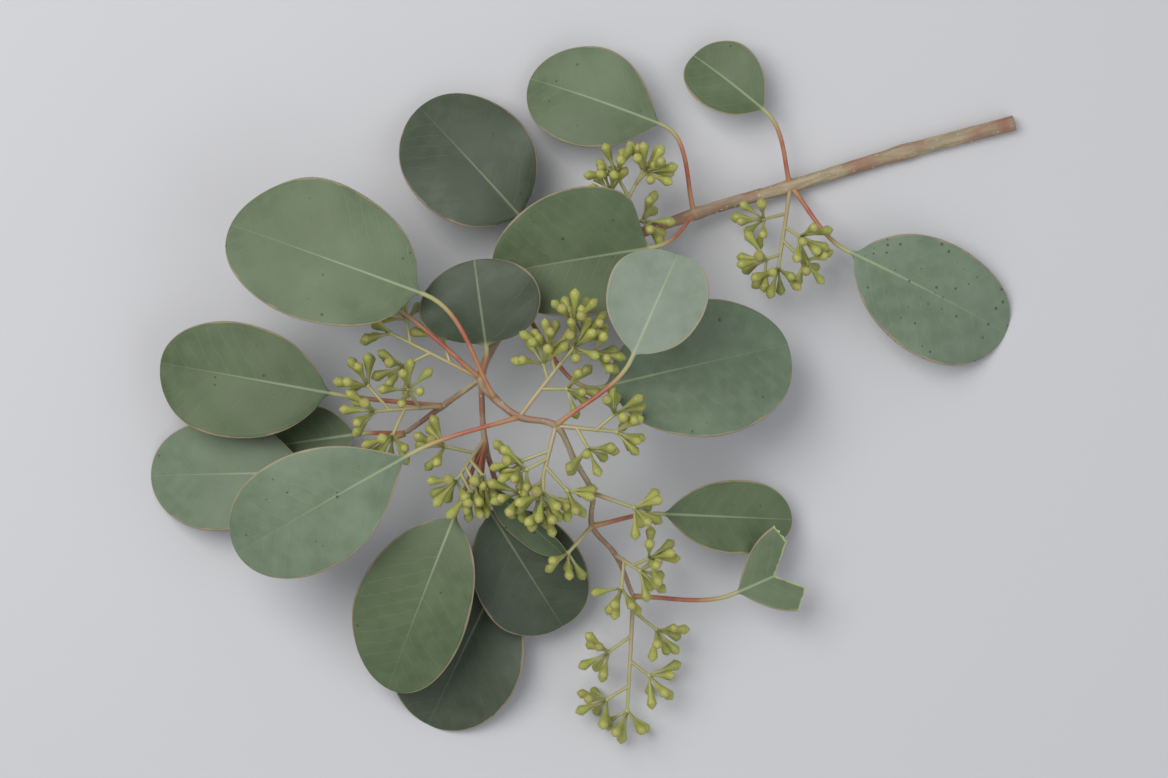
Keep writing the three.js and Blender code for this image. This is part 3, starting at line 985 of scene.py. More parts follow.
@dataclass(frozen=True)
class NutFinish(Finish):
    """The satin skin of the gum nuts in bud and of their stalks, by shares of a nut's length."""

    name: str = "gum_nut_bud"
    stalk: Colour = (164, 164, 108)
    woody: Colour = (170, 146, 118)
    head: Colour = (168, 170, 84)
    dull: Colour = (130, 134, 66)
    rim: Colour = (120, 118, 58)
    cap: Colour = (164, 165, 84)
    tip: Colour = (170, 132, 96)

    PATCHES = Patches(260.0, 0.3, 0.7)
    DULL_BY_TONE = 0.7
    DULL_BY_PATCH = 0.3
    CAP_DULL_BY_TONE = 0.5
    HEAD_START = (0.2, 0.55)
    CAP_START = (0.84, 0.86)
    GROOVE_AT = 0.845
    GROOVE_WIDTH = (0.006, 0.02)
    GROOVE_STRENGTH = 0.4
    TIP_START = (0.93, 1.0)
    TIP_BY_TONE = (0.2, 0.8, 0.25, 1.0)
    DOTS = Specks(1500.0, 0.3, 0.4)
    DOT_STRENGTH = 0.3
    ROUGHNESS = (0.38, 0.52)
    GRAIN = 2600.0
    RELIEF = (0.3, 0.0002)

    def lay(self, paint: Paint) -> None:
        """Feeds the inputs of the shader.

        Args:
            paint: The material in the making.
        """
        graph = paint.graph
        along = graph.attribute("nut_along")
        tone = graph.attribute("nut_tone")
        patches = paint.patches(self.PATCHES)
        dots = paint.specks(self.DOTS)
        dullness = graph.plus(graph.times(tone, self.DULL_BY_TONE), graph.times(patches, self.DULL_BY_PATCH))
        head = graph.mix(dullness, linear(self.head), linear(self.dull))
        cap = graph.paint(linear(self.cap), self.dull, tone, self.CAP_DULL_BY_TONE)
        groove = graph.near(along, self.GROOVE_AT, *self.GROOVE_WIDTH)
        skin = graph.mix(graph.attribute("woody"), linear(self.stalk), linear(self.woody))
        skin = graph.mix(graph.ramp(along, *self.HEAD_START), skin, head)
        skin = graph.mix(graph.ramp(along, *self.CAP_START), skin, cap)
        skin = graph.paint(skin, self.rim, groove, self.GROOVE_STRENGTH)
        ripe = graph.ramp(tone, *self.TIP_BY_TONE)
        skin = graph.paint(skin, self.tip, graph.ramp(along, *self.TIP_START), ripe)
        skin = graph.paint(skin, self.rim, dots, self.DOT_STRENGTH)
        paint.set("Base Color", skin)
        paint.set("Roughness", graph.spread(patches, *self.ROUGHNESS))
        paint.emboss(paint.grain(self.GRAIN), *self.RELIEF)


@dataclass(frozen=True)
class FloorFinish(Finish):
    """The plain, pale surface that the sprig lies on."""

    name: str = "pale_floor"
    colour: Colour = (190, 190, 192)

    ROUGHNESS = 0.7

    def lay(self, paint: Paint) -> None:
        """Feeds the inputs of the shader."""
        paint.set("Base Color", linear(self.colour))
        paint.set("Roughness", self.ROUGHNESS)


# The shoot


@dataclass(frozen=True)
class Joint:
    """A joint of the stem, where leaves and sprays leave it."""

    name: str
    at: Place
    radius: float


MAIN_STEM = (
    Joint("cut", (170, 101, 2.3), 2.6),
    Joint("bare", (132, 91, 2.1), 2.5),
    Joint("s1", (93, 79, 4.5), 2.2),
    Joint("s2", (60, 69, 9.5), 1.95),
    Joint("s3", (28, 56, 16), 1.75),
    Joint("s4", (1, 36, 24), 1.55),
    Joint("n1", (-12, 12, 34), 1.3),
    Joint("n2", (-7, 5, 40), 1.2),
    Joint("n3", (1, -1, 44), 1.1),
    Joint("n4", (13, -4, 46), 1.0),
    Joint("n5", (19, -15, 42), 0.95),
    Joint("n6", (25, -26, 36), 0.9),
    Joint("n7", (25, -37, 29), 0.85),
    Joint("n8", (33, -47, 21), 0.8),
    Joint("n9", (39, -61, 13), 0.75),
)
WEST_TWIG = (
    Joint("w0", (-12, 12, 34), 1.0),
    Joint("w1", (-25, 3, 28), 0.95),
    Joint("w2", (-38, -6, 21), 0.85),
)
SOUTH_TWIG = (
    Joint("u0", (-12, 12, 34), 1.0),
    Joint("u1", (-11, -8, 27), 0.95),
    Joint("u2", (-7, -24, 18), 0.85),
)
JOINTS = {joint.name: joint for joint in MAIN_STEM + WEST_TWIG + SOUTH_TWIG}


def joint_place(name: str) -> Array:
    """Returns where a joint of the stem is."""
    return np.array(JOINTS[name].at, float)


def through_joints(places: Array, steps: int) -> Array:
    """Runs a smooth path through places, as a centripetal Catmull-Rom spline.

    Args:
        places: The places, one to a row.
        steps: How many steps the path takes between two of them.

    Returns:
        The points of the path.
    """
    before = 2 * places[0] - places[1]
    after = 2 * places[-1] - places[-2]
    padded = np.vstack([before, places, after])
    points = []
    for p0, p1, p2, p3 in zip(padded, padded[1:], padded[2:], padded[3:]):
        d0, d1, d2 = (np.linalg.norm(b - a) ** 0.5 for a, b in ((p0, p1), (p1, p2), (p2, p3)))
        m1 = ((p1 - p0) / d0 - (p2 - p0) / (d0 + d1) + (p2 - p1) / d1) * d1
        m2 = ((p2 - p1) / d1 - (p3 - p1) / (d1 + d2) + (p3 - p2) / d2) * d1
        for t in np.arange(steps) / steps:
            cubic = 2 * p1 - 2 * p2 + m1 + m2
            square = -3 * p1 + 3 * p2 - 2 * m1 - m2
            points.append(p1 + m1 * t + square * t**2 + cubic * t**3)
    points.append(places[-1])
    return np.array(points)


@dataclass
class Shoot:
    """The stem with its two twigs, its bark, its joints and its cut end."""

    sides: int = 20
    steps: int = 16
    swelling: float = 0.16
    swelling_reach: float = 3.2
    tip_rounding: float = 1.2
    tip_share: float = 0.12
    furrow: float = 0.025
    twig_age: float = 0.35
    bark_stretch: float = 0.16
    cut_bevel: float = 0.12
    cut_rise: float = 0.06
    lenticel_length: float = 0.55
    lenticel_density: float = 45000.0
    lenticel_lowest: float = 0.6
    lenticel_seed: int = 5

    BROAD_FURROWS = (5, 0.06)
    FINE_FURROWS = (11, 0.11)
    FINE_SHARE = 0.4
    RINGS_PER_MM = 0.9
    RING_SLANT = 2
    LENTICEL_GAP = 0.0012
    LENTICEL_SIZES = (0.5, 1.0)
    LENTICEL_WIDTH = 0.55
    LENTICEL_HEIGHT = 0.3
    LENTICEL_PALENESS = 0.8

    def build(self, bark: bpy.types.Material, wood: bpy.types.Material) -> bpy.types.Object:
        """Builds the stem.

        Args:
            bark: The finish of the bark.
            wood: The finish of the cut end.

        Returns:
            The piece that stands for the stem.
        """
        branches = []
        for i, joints in enumerate((MAIN_STEM, WEST_TWIG, SOUTH_TWIG)):
            name = f"stem_part_{i}"
            mesh = self._branch(joints, i).to_mesh(name)
            mesh.materials.append(bark)
            mesh.materials.append(wood)
            if i == 0:
                self._mark_cut(mesh)
            branches.append(linked_object(name, mesh))
        stem, *twigs = branches
        for twig in twigs:
            union = stem.modifiers.new("join", "BOOLEAN")
            union.operation = "UNION"
            union.solver = "EXACT"
            union.object = twig
        mesh = evaluated_mesh(stem)
        for twig in twigs:
            bpy.data.objects.remove(twig)
        return finished_piece("bark_stem", self._with_lenticels(mesh, bark), "stem")

    def _branch(self, joints: Sequence[Joint], number: int) -> Skin:
        """Makes one branch of the stem, with its joints swollen and its bark furrowed.

        Args:
            joints: The joints that it runs through.
            number: Which branch it is, the main stem being 0.

        Returns:
            Its skin.
        """
        places = np.array([joint.at for joint in joints], float)
        points = through_joints(places, self.steps)
        share = np.linspace(0, len(joints) - 1, len(points))
        radii = np.interp(share, np.arange(len(joints)), [joint.radius for joint in joints])
        for place in places[1:-1]:
            away = np.linalg.norm(points - place, axis=1)
            radii = radii * (1 + self.swelling * np.exp(-((away / self.swelling_reach) ** 2)))
        run = np.concatenate([[0], np.cumsum(np.linalg.norm(np.diff(points, axis=0), axis=1))])
        from_tip = run[-1] - run
        rounded = np.sqrt(np.clip(from_tip / self.tip_rounding, self.tip_share, 1))
        radii = radii * np.where(run > run[-1] - self.tip_rounding, rounded, 1)

        skin_points, faces = tube(points, radii, self.sides)
        around = np.tile(np.arange(self.sides) * 2 * math.pi / self.sides, len(points))
        along = np.repeat(run, self.sides)
        centres = np.repeat(points, self.sides, axis=0)
        skin_points = centres + (skin_points - centres) * self._ripple(around, along, number)[:, None]
        skin_points[:, 2] = np.maximum(skin_points[:, 2], 0)
        radius = np.repeat(radii, self.sides)
        bark = np.column_stack([radius * np.cos(around), radius * np.sin(around), along * self.bark_stretch])
        age = 1 - along / run[-1] if number == 0 else np.full(len(along), self.twig_age)
        values = {"bark": bark, "age": age, "radial": np.ones(len(along)), "lenticel": np.zeros(len(along))}
        return Skin(skin_points, faces, values)

    def _ripple(self, around: Array, along: Array, number: int) -> Array:
        """Returns how far the furrows and rings of the bark stand out, as a factor on its radius.

        Args:
            around: The angle about the branch of each point.
            along: Its distance along the branch.
            number: Which branch it is.

        Returns:
            The factor at each point.
        """
        count, twist = self.BROAD_FURROWS
        broad = np.sin(count * around + twist * along + number)
        count, twist = self.FINE_FURROWS
        fine = np.sin(count * around - twist * along)
        rings = np.sin(self.RINGS_PER_MM * along + self.RING_SLANT * np.sin(around))
        return 1 + self.furrow * broad + self.FINE_SHARE * self.furrow * fine + self.furrow * rings

    def _mark_cut(self, mesh: bpy.types.Mesh) -> None:
        """Gives the cut end a bevel, a middle point and the finish of cut wood.

        Args:
            mesh: The mesh of the main stem, which is changed.
        """
        work = bmesh.new()
        work.from_mesh(mesh)
        work.faces.ensure_lookup_table()
        inset = bmesh.ops.inset_region(work, faces=[self._cut_face(work)], thickness=self.cut_bevel * MM,
                                       depth=self.cut_rise * MM)
        poked = bmesh.ops.poke(work, faces=[self._cut_face(work)])
        radial = work.verts.layers.float["radial"]
        for vertex in poked["verts"]:
            vertex[radial] = 0.0
        for face in poked["faces"]:
            face.material_index = 1
            face.smooth = False
        for face in inset["faces"]:
            face.material_index = 0
        work.to_mesh(mesh)
        work.free()

    def _cut_face(self, work: bmesh.types.BMesh) -> bmesh.types.BMFace:
        """Returns the face at the cut end of the stem.

        Args:
            work: The mesh of the main stem.

        Returns:
            The face.
        """
        cut = Vector(to_frame(joint_place("cut")))
        return next(face for face in work.faces
                    if len(face.verts) == self.sides and (face.calc_center_median() - cut).length < MM)

    def _with_lenticels(self, mesh: bpy.types.Mesh, bark: bpy.types.Material) -> bpy.types.Mesh:
        """Scatters small raised lenticels over the bark.

        Args:
            mesh: The mesh of the stem.
            bark: The finish of the bark.

        Returns:
            The mesh with its lenticels.
        """
        graph, start, end = geometry_group(
            "bark_lenticels",
            {"Length": ("NodeSocketFloat", 0.0005), "Density": ("NodeSocketFloat", 1.0),
             "Lowest": ("NodeSocketFloat", 0.0), "Seed": ("NodeSocketInt", 0),
             "Bark": ("NodeSocketMaterial", None)},
        )
        place = graph.add("GeometryNodeInputPosition", {}).outputs[0]
        height = graph.add("ShaderNodeSeparateXYZ", {0: place}).outputs[2]
        scatter = graph.add(
            "GeometryNodeDistributePointsOnFaces",
            {"Mesh": start["Geometry"], "Selection": graph.math("GREATER_THAN", height, start["Lowest"]),
             "Distance Min": self.LENTICEL_GAP, "Density Max": start["Density"], "Seed": start["Seed"]},
            distribute_method="POISSON",
        ).outputs
        blob = graph.add("GeometryNodeMeshIcoSphere", {"Radius": 1.0, "Subdivisions": 1}).outputs["Mesh"]
        length = graph.times(start["Length"], graph.random(*self.LENTICEL_SIZES, start["Seed"]))
        width, rise = (graph.times(length, share) for share in (self.LENTICEL_WIDTH, self.LENTICEL_HEIGHT))
        scale = graph.add("ShaderNodeCombineXYZ", {0: length, 1: width, 2: rise}).outputs[0]
        placed = graph.add(
            "GeometryNodeInstanceOnPoints",
            {"Points": scatter["Points"], "Instance": blob, "Rotation": scatter["Rotation"], "Scale": scale},
        ).outputs["Instances"]
        marked = graph.stored(graph.realized(placed), "lenticel", self.LENTICEL_PALENESS, "POINT")
        graph.feed(end, graph.joined(graph.dressed(marked, start["Bark"]), start["Geometry"]))
        values = {"Length": self.lenticel_length * MM, "Density": self.lenticel_density,
                  "Lowest": self.lenticel_lowest * MM, "Seed": self.lenticel_seed, "Bark": bark}
        return grown(mesh, graph.tree, values)


# Leaves


@dataclass(frozen=True)
class TornTip:
    """How the tip of a leaf is torn off.

    A square corner at a place is out of it, which opens along heading. Each of the two lobes beside
    it ends at a tear, which crosses the heading at a distance from the corner and leans. Angles are
    in degrees, and ends has a distance, a lean and the length of the teeth for each lobe. The edge
    is pale over the width of rim.
    """

    at: tuple[float, float]
    heading: float
    ends: tuple[tuple[float, float, float], ...]
    fray: float = 0.22
    rim: float = 0.5

    def planes(self) -> list[list[tuple[Vector, Vector, float]]]:
        """Lists what is torn off, each as the planes before it: a point, a normal and its teeth.

        Returns:
            The torn pieces, each as a list of its planes.
        """
        corner = np.array([*self.at, 0.0])

        def plane(reach: float, lean: float, teeth: float) -> tuple[Vector, Vector, float]:
            """Makes the plane across the heading at reach, turned by lean.

            Args:
                reach: The distance from the corner.
                lean: The turn, in degrees.
                teeth: The length of the teeth.

            Returns:
                A point of the plane, its normal and its teeth.
            """
            away, facing = (np.radians(self.heading + turn) for turn in (0, lean))
            at = corner + reach * np.array([np.cos(away), np.sin(away), 0])
            return Vector(to_frame(at)), Vector((np.cos(facing), np.sin(facing), 0)), teeth * MM

        return [[plane(0, -45, self.fray), plane(0, 45, self.fray)], *([plane(*end)] for end in self.ends)]


@dataclass(frozen=True)
class Leaf:
    """A leaf: its stalk, its blade, its midrib and its margin.

    Shares along the blade run from 0 at its base to 1 at its tip, and shares across it from -1 to 1.
    """

    number: int
    joint: str
    base: Place
    tip: Place
    width: float
    tone: LeafTone
    arch: float = 5
    roll: float = 3
    widest: float = 0.57
    blunt: float = 0.5
    taper: float = 9
    skew: float = 0
    cup: float = -0.07
    fold: float = 0.1
    wave: float = 0.05
    torn: Union[TornTip, None] = None

    COLUMNS = (0, 0.015, 0.035, 0.07, 0.13, 0.22, 0.33, 0.45, 0.57, 0.68, 0.78, 0.87, 0.94, 0.985, 1)
    ROWS = 46
    STALK_ROWS = 16
    STALK_RADIUS = 0.75
    STALK_FOOT = 0.35
    STALK_FOOT_REACH = 3.5
    STALK_LIFT = 0.35
    NECK = 0.1
    THICKNESS = 0.5
    MARGIN_THINNING = 0.45
    LYING_TOP = 0.3
    RIB_TAPER = 0.8
    RIB_SPREAD = 0.95
    RIB_ABOVE = 0.16
    RIB_BELOW = 0.75
    RIPPLES = 1.5
    PHASE_STEP = 1.7
    FLUTTER = ((0.012, 9, 5, 1), (0.008, 17, -7, 2))
    UNEVENNESS = 0.015
    UNEVEN_RATE = 7
    UNEVEN_SHIFT = 1.3
    TEETH = (0.5, (0.6, 2.7), (0.4, 6.1))
    SAME_POINT = 1e-7
    ON_PLANE = 1e-6

    @property
    def phase(self) -> float:
        """Returns where the ripple of the margin starts."""
        return self.PHASE_STEP * self.number

    def midrib(self) -> Bezier:
        """Returns the curve of the midrib, from the base of the blade to its tip."""
        base, tip = np.array(self.base, float), np.array(self.tip, float)
        return Bezier(np.array([base, (base + tip) / 2 + UP * 2 * self.arch, tip]))

    def stalk(self) -> Bezier:
        """Returns the curve of the stalk, from its joint on the stem to the base of the blade.

        Returns:
            The curve.
        """
        start, base = joint_place(self.joint), np.array(self.base, float)
        reach = np.linalg.norm(base - start) / 3
        leaving = unit(unit(base - start) + UP * self.STALK_LIFT)
        arriving = self.midrib().along(np.array([0.0]))[0]
        return Bezier(np.array([start, start + leaving * reach, base - arriving * reach, base]))

    def half_width(self, u: Array) -> Array:
        """Returns half the width of the blade at the shares u of its length.

        Args:
            u: The shares along.

        Returns:
            The half widths, in millimetres.
        """
        rise = self.blunt * self.widest / (1 - self.widest)

        def shape(x: Array) -> Array:
            """Returns the outline before it is brought to the leaf's width."""
            return x**rise * (1 - x) ** self.blunt * (1 - (1 - x) ** self.taper)

        return self.width / 2 * shape(u) / shape(self.widest)

    def stand_off(self, u: Array, v: Array) -> Array:
        """Returns how far the blade stands off the plane of its midrib at shares along and across.

        Args:
            u: The shares along.
            v: The shares across.

        Returns:
            The heights, in millimetres.
        """
        ripple = np.sin(2 * math.pi * self.RIPPLES * u + self.phase) * v * np.abs(v)
        flutter = sum(size * np.sin(a * u + b * v + c * self.phase) for size, a, b, c in self.FLUTTER)
        bend = self.fold * np.abs(v) + self.cup * v * v + self.wave * ripple
        return self.half_width(u) * (bend + flutter * np.abs(v))

    def build(self, finish: bpy.types.Material) -> bpy.types.Object:
        """Builds the leaf.

        Args:
            finish: The finish of its tone.

        Returns:
            The piece that stands for the leaf's node.
        """
        v, side, angle = self._ring()
        stalk_points, stalk_values = self._stalk_rings(angle)
        blade_points, blade_values = self._blade_rings(v, side, angle)
        points = np.concatenate([stalk_points, blade_points])
        rings, size = points.shape[:2]
        floor = np.where(side > 0, self.LYING_TOP, np.where(side < 0, 0.0, self.LYING_TOP / 2))
        points[:, :, 2] = np.maximum(points[:, :, 2], floor)
        tip = self.midrib().at(np.array([1.0])) + UP * self.LYING_TOP / 2

        faces = ring_faces(rings, size)
        faces.append(tuple(reversed(range(size))))
        last = (rings - 1) * size
        faces += [(last + j, last + (j + 1) % size, rings * size) for j in range(size)]
        blade = np.concatenate([stalk_values, blade_values]).reshape(-1, 3)
        up_stalk = np.minimum(np.arange(rings) / self.STALK_ROWS, 1)
        values = {
            "blade": np.vstack([blade, [[self.midrib().length(), 0, 0]]]),
            "underside": np.append(np.tile((1 - side) / 2, rings), 0.5),
            "stalk": np.append(np.repeat(up_stalk, size), 1),
            "torn": np.zeros(rings * size + 1),
        }
        name = f"blade_{self.number:02d}"
        mesh = Skin(np.vstack([points.reshape(-1, 3), tip]), faces, values).to_mesh(name)
        if self.torn:
            self._tear(mesh)
        mesh.materials.append(finish)
        return finished_piece(name, mesh, f"leaf_{self.number:02d}")

    def _ring(self) -> tuple[Array, Array, Array]:
        """Lays out the points of a ring, over the top from the left and back below.

        Returns:
            The share across of each point, its side (1 on top, -1 on the underside and 0 at the
            margins) and its angle where the ring is still round.
        """
        half_columns = np.array(self.COLUMNS)
        columns = np.concatenate([-half_columns[:0:-1], half_columns])
        top = np.arange(len(columns))
        under = top[-2:0:-1]
        ring = np.concatenate([top, under])
        side = np.concatenate([np.ones(len(top)), -np.ones(len(under))])
        side[[0, len(top) - 1]] = 0
        turn = np.linspace(-1, 1, len(columns))[ring]
        return columns[ring], side, np.where(side < 0, -1, 1) * math.pi / 2 * (1 - turn)

    def _stalk_rings(self, angle: Array) -> tuple[Array, Array]:
        """Makes the rings of the stalk.

        Args:
            angle: The angle of each point of a ring.

        Returns:
            The points of each ring, and what the finish reads there.
        """
        curve = self.stalk()
        length = curve.length()
        t = np.linspace(0, 1, self.STALK_ROWS + 1)
        points = curve.at(t)
        _, right, normal = carried_normals(points)
        from_foot = t[:-1] * length
        radii = self.STALK_RADIUS + self.STALK_FOOT * np.exp(-from_foot / self.STALK_FOOT_REACH)
        values = np.zeros((self.STALK_ROWS, len(angle), 3))
        values[:, :, 0] = (from_foot - length)[:, None]
        values[:, :, 2] = self.STALK_RADIUS
        across = all_round(right[:-1], normal[:-1], angle)
        return points[:-1, None] + across * radii[:, None, None], values

    def _blade_rings(self, v: Array, side: Array, angle: Array) -> tuple[Array, Array]:
        """Makes the rings of the blade, which grow out of the round stalk.

        Args:
            v: The share across of each point of a ring.
            side: 1 on top, -1 on the underside and 0 at the margins.
            angle: The angle of each point where the ring is still round.

        Returns:
            The points of each ring, and what the finish reads there.
        """
        curve = self.midrib()
        u = (1 - np.cos(math.pi * np.linspace(0, 1, self.ROWS + 1)[:-1])) / 2
        centre, along = curve.at(u), curve.along(u)
        normal = unit(UP - along * along[:, 2:])
        roll = math.radians(self.roll)
        normal = normal * math.cos(roll) + np.cross(along, normal) * math.sin(roll)
        right = np.cross(along, normal)

        half = self.half_width(u)[:, None]
        left_or_right = np.sign(v)
        waves = np.sin(self.UNEVEN_RATE * u[:, None] + left_or_right * self.UNEVEN_SHIFT + self.phase)
        uneven = 1 + self.UNEVENNESS * waves
        lateral = v * half * (1 + self.skew * left_or_right) * uneven
        rib = self.STALK_RADIUS * (1 - self.RIB_TAPER * np.sqrt(u))[:, None]
        ridge = rib * np.exp(-((lateral / (self.RIB_SPREAD * rib)) ** 2))
        thickness = self.THICKNESS / 2 * (1 - self.MARGIN_THINNING * v**4)
        thickness = thickness + ridge * np.where(side > 0, self.RIB_ABOVE, self.RIB_BELOW)
        height = self.stand_off(u[:, None], v[None, :]) + side * thickness

        neck = smooth_step(0.0, self.NECK, u)[:, None]
        x = lateral * neck + self.STALK_RADIUS * np.cos(angle) * (1 - neck)
        z = height * neck + self.STALK_RADIUS * np.sin(angle) * (1 - neck)
        points = centre[:, None] + right[:, None] * x[:, :, None] + normal[:, None] * z[:, :, None]
        values = np.empty_like(points)
        values[:, :, 0] = (u * curve.length())[:, None]
        values[:, :, 1] = x
        values[:, :, 2] = np.maximum(half * (1 + self.skew * left_or_right) * uneven, np.abs(x))
        return points, values

    def _tear(self, mesh: bpy.types.Mesh) -> None:
        """Tears the tip off, and closes the torn edge with a pale, frayed rim.

        Args:
            mesh: The mesh of the leaf, which is changed.
        """
        work = bmesh.new()
        work.from_mesh(mesh)
        pieces = self.torn.planes()
        planes = [plane for piece in pieces for plane in piece]
        inwards = self.torn.rim * MM
        for at, normal, _ in planes:
            for place in (at - normal * inwards, at):
                everything = work.verts[:] + work.edges[:] + work.faces[:]
                bmesh.ops.bisect_plane(work, geom=everything, plane_co=place, plane_no=normal,
                                       dist=self.SAME_POINT)

        def is_off(point: Vector) -> bool:
            """Tells whether a point is on a piece that is torn off."""
            return any(all((point - at).dot(normal) > 0 for at, normal, _ in piece) for piece in pieces)

        off = [face for face in work.faces if is_off(face.calc_center_median())]
        bmesh.ops.delete(work, geom=off, context="FACES")
        rim = [edge for edge in work.edges if edge.is_boundary]
        filled = bmesh.ops.holes_fill(work, edges=rim, sides=0)
        bmesh.ops.triangulate(work, faces=filled["faces"])
        torn = work.verts.layers.float["torn"]
        for edge in rim:
            edge.smooth = False
        for vertex in {vertex for edge in rim for vertex in edge.verts}:
            vertex[torn] = 1.0
            for at, normal, teeth in planes:
                if abs((vertex.co - at).dot(normal)) < self.ON_PLANE:
                    run = (vertex.co - at).dot(normal.cross(Vector(UP))) / MM
                    vertex.co += normal * teeth * self._tooth(run)
        work.to_mesh(mesh)
        work.free()

    def _tooth(self, run: float) -> float:
        """Returns how far a torn edge stands out at a distance along it, as a share of its teeth."""
        middle, *waves = self.TEETH
        return middle + sum(size * math.sin(rate * run) for size, rate in waves)


# Leaves 8, 10, 11 and 19 take the tone with painted shade.
LEAVES = (
    Leaf(1, "n2", (-30, 39, 50), (-95, 63, 37), 47, LeafTone.SAGE, roll=6, widest=0.54, taper=16, skew=0.05,
         wave=0.1),
    Leaf(2, "w1", (-61, 7, 30), (-121, 18, 15), 39, LeafTone.OLIVE, roll=-5, blunt=0.48, taper=12,
         skew=-0.08),
    Leaf(3, "w2", (-69, -19, 17), (-126, -20, 0), 38, LeafTone.BLOOM),
    Leaf(4, "n3", (-34, -13, 48), (-93, -46, 33), 40, LeafTone.BLOOM, arch=6, roll=-4, widest=0.6, taper=6.6),
    Leaf(5, "u1", (-20, -32, 34), (-44, -92, 13), 39, LeafTone.OLIVE, arch=6, roll=8, taper=14, skew=0.08),
    Leaf(6, "n4", (38, 18, 54), (53, 52, 52), 34, LeafTone.YOUNG, arch=3, roll=-14, blunt=0.46, cup=0.12),
    Leaf(7, "s4", (28, 9, 37), (91, 24, 20), 46, LeafTone.BLOOM, roll=-6, taper=20, skew=0.1, wave=0.09),
    Leaf(8, "u1", (-10, -31, 21), (15, -71, 9), 38, LeafTone.SHADE, arch=4, blunt=0.48, taper=14, cup=0.06),
    Leaf(9, "s2", (45, 56, 30), (-8, 47, 31), 43, LeafTone.OLIVE, arch=3, roll=-6, widest=0.4, taper=30,
         skew=0.1, cup=0.08, fold=0.14),
    Leaf(10, "s4", (2, 66, 20), (-34, 106, 5), 43, LeafTone.SHADE, arch=6, widest=0.52, taper=14),
    Leaf(11, "u2", (-6, -53, 8), (-31, -105, 0), 43, LeafTone.SHADE, arch=3, cup=0.04, fold=0.08),
    Leaf(12, "s1", (112, 56, 14), (167, 29, 0), 40, LeafTone.SPECKLED, arch=6, roll=-4, taper=14, skew=0.08),
    Leaf(13, "s2", (49, 99, 14), (4, 116, 4), 35, LeafTone.SAGE, roll=5, blunt=0.52, fold=0.12),
    Leaf(14, "w2", (-54, -6, 13), (-84, -10, 4), 24, LeafTone.OLIVE, arch=2, blunt=0.55, cup=0.05),
    Leaf(15, "n9", (73, -60, 15), (113, -42, 15), 32, LeafTone.SAGE, arch=3, widest=0.6, blunt=0.3, taper=6,
         torn=TornTip((86.2, -54), 25, ((10.8, 14, 0.55), (15.3, -42, 0.2)))),
    Leaf(16, "s1", (84, 104, 12), (60, 124, 4), 25, LeafTone.OLIVE, arch=3, roll=5, cup=0.06, fold=0.12),
    Leaf(17, "n7", (48, -33, 19), (93, -35, 7), 25, LeafTone.OLIVE, arch=3, roll=-4, cup=0.04, wave=0.08),
    Leaf(18, "u1", (-11, -22, 31), (16, -47, 25), 19, LeafTone.SAGE, arch=3, roll=58, blunt=0.6, cup=0.2),
    Leaf(19, "n1", (-10, 22, 39), (-14, 51, 41), 41, LeafTone.SHADE, arch=2, roll=-8, widest=0.5, taper=16),
    Leaf(20, "n1", (-45, 38, 39), (-86, 58, 29), 31, LeafTone.SAGE, arch=3, cup=-0.04, fold=0.05),
)


# Gum nuts


@dataclass(frozen=True)
class GumNut:
    """One gum nut in bud on its stalk, pointing along +Z from the middle of its umbel.

    The profile has heights along the nut with its radii there, and the check profile is a coarser
    one with room round it.
    """

    sides: int = 8
    length: float = 11.4
    profile: tuple[tuple[float, float], ...] = (
        (0.0, 0.44), (4.4, 0.52), (6.4, 1.0), (8.2, 1.5), (9.4, 1.82), (9.7, 1.7), (10.5, 1.2), (11.15, 0.42),
    )
    check_sides: int = 6
    check_profile: tuple[tuple[float, float], ...] = ((0, 0.8), (5.0, 1.0), (9.4, 2.1), (11.7, 0.1))

    def to_object(self) -> bpy.types.Object:
        """Makes the nut that the sprays repeat, round its own origin.

        Returns:
            The object, which isn't in the scene itself.
        """
        angles = [2 * math.pi * k / self.sides for k in range(self.sides)]
        points = [(radius * math.cos(angle), radius * math.sin(angle), height)
                  for height, radius in self.profile for angle in angles]
        points.append((0.0, 0.0, self.length))
        rings = len(self.profile)
        faces = ring_faces(rings, self.sides)
        faces.append(tuple(reversed(range(self.sides))))
        last = (rings - 1) * self.sides
        faces += [(last + k, last + (k + 1) % self.sides, rings * self.sides) for k in range(self.sides)]
        along = np.array([height / self.length for _, _, height in points])
        mesh = new_mesh("gum_nut", np.array(points) * MM, [], faces, {"nut_along": along})
        return bpy.data.objects.new("gum_nut", mesh)

    def outline(self, heading: Heading, size: float) -> tuple[Array, Faces]:
        """Makes a coarse nut with room round it, for testing where it fits.

        Args:
            heading: Where it starts and which way it points.
            size: Its size beside a plain nut.

        Returns:
            Its points and its faces.
        """
        places = np.array([heading.at + heading.along * height * size for height, _ in self.check_profile])
        radii = np.array([radius * size for _, radius in self.check_profile])
        return tube(places, radii, self.check_sides)


class Room:
    """What is already in place, so that a new stalk or nut isn't put through it."""

    def __init__(self) -> None:
        """Starts with the stem and the leaves of the frame, and no nuts."""
        self.trees: list[BVHTree] = []
        self.heads: list[Array] = []
        for name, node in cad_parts.items():
            if name.startswith(("stem", "leaf")):
                points = to_layout(np.array([vertex.co for vertex in node.data.vertices]))
                self.add(points, [tuple(face.vertices) for face in node.data.polygons])

    def add(self, points: Array, faces: Faces) -> None:
        """Adds a solid to what is in place."""
        self.trees.append(BVHTree.FromPolygons(points.tolist(), faces))

    def is_free(self, points: Array, faces: Faces) -> bool:
        """Tells whether a solid runs into nothing."""
        solid = BVHTree.FromPolygons(points.tolist(), faces)
        return not any(solid.overlap(tree) for tree in self.trees)

    def fits_head(self, head: Array, space: float) -> bool:
        """Tells whether the middle of a nut keeps its space from those in place."""
        return all(np.linalg.norm(other - head) >= space for other in self.heads)


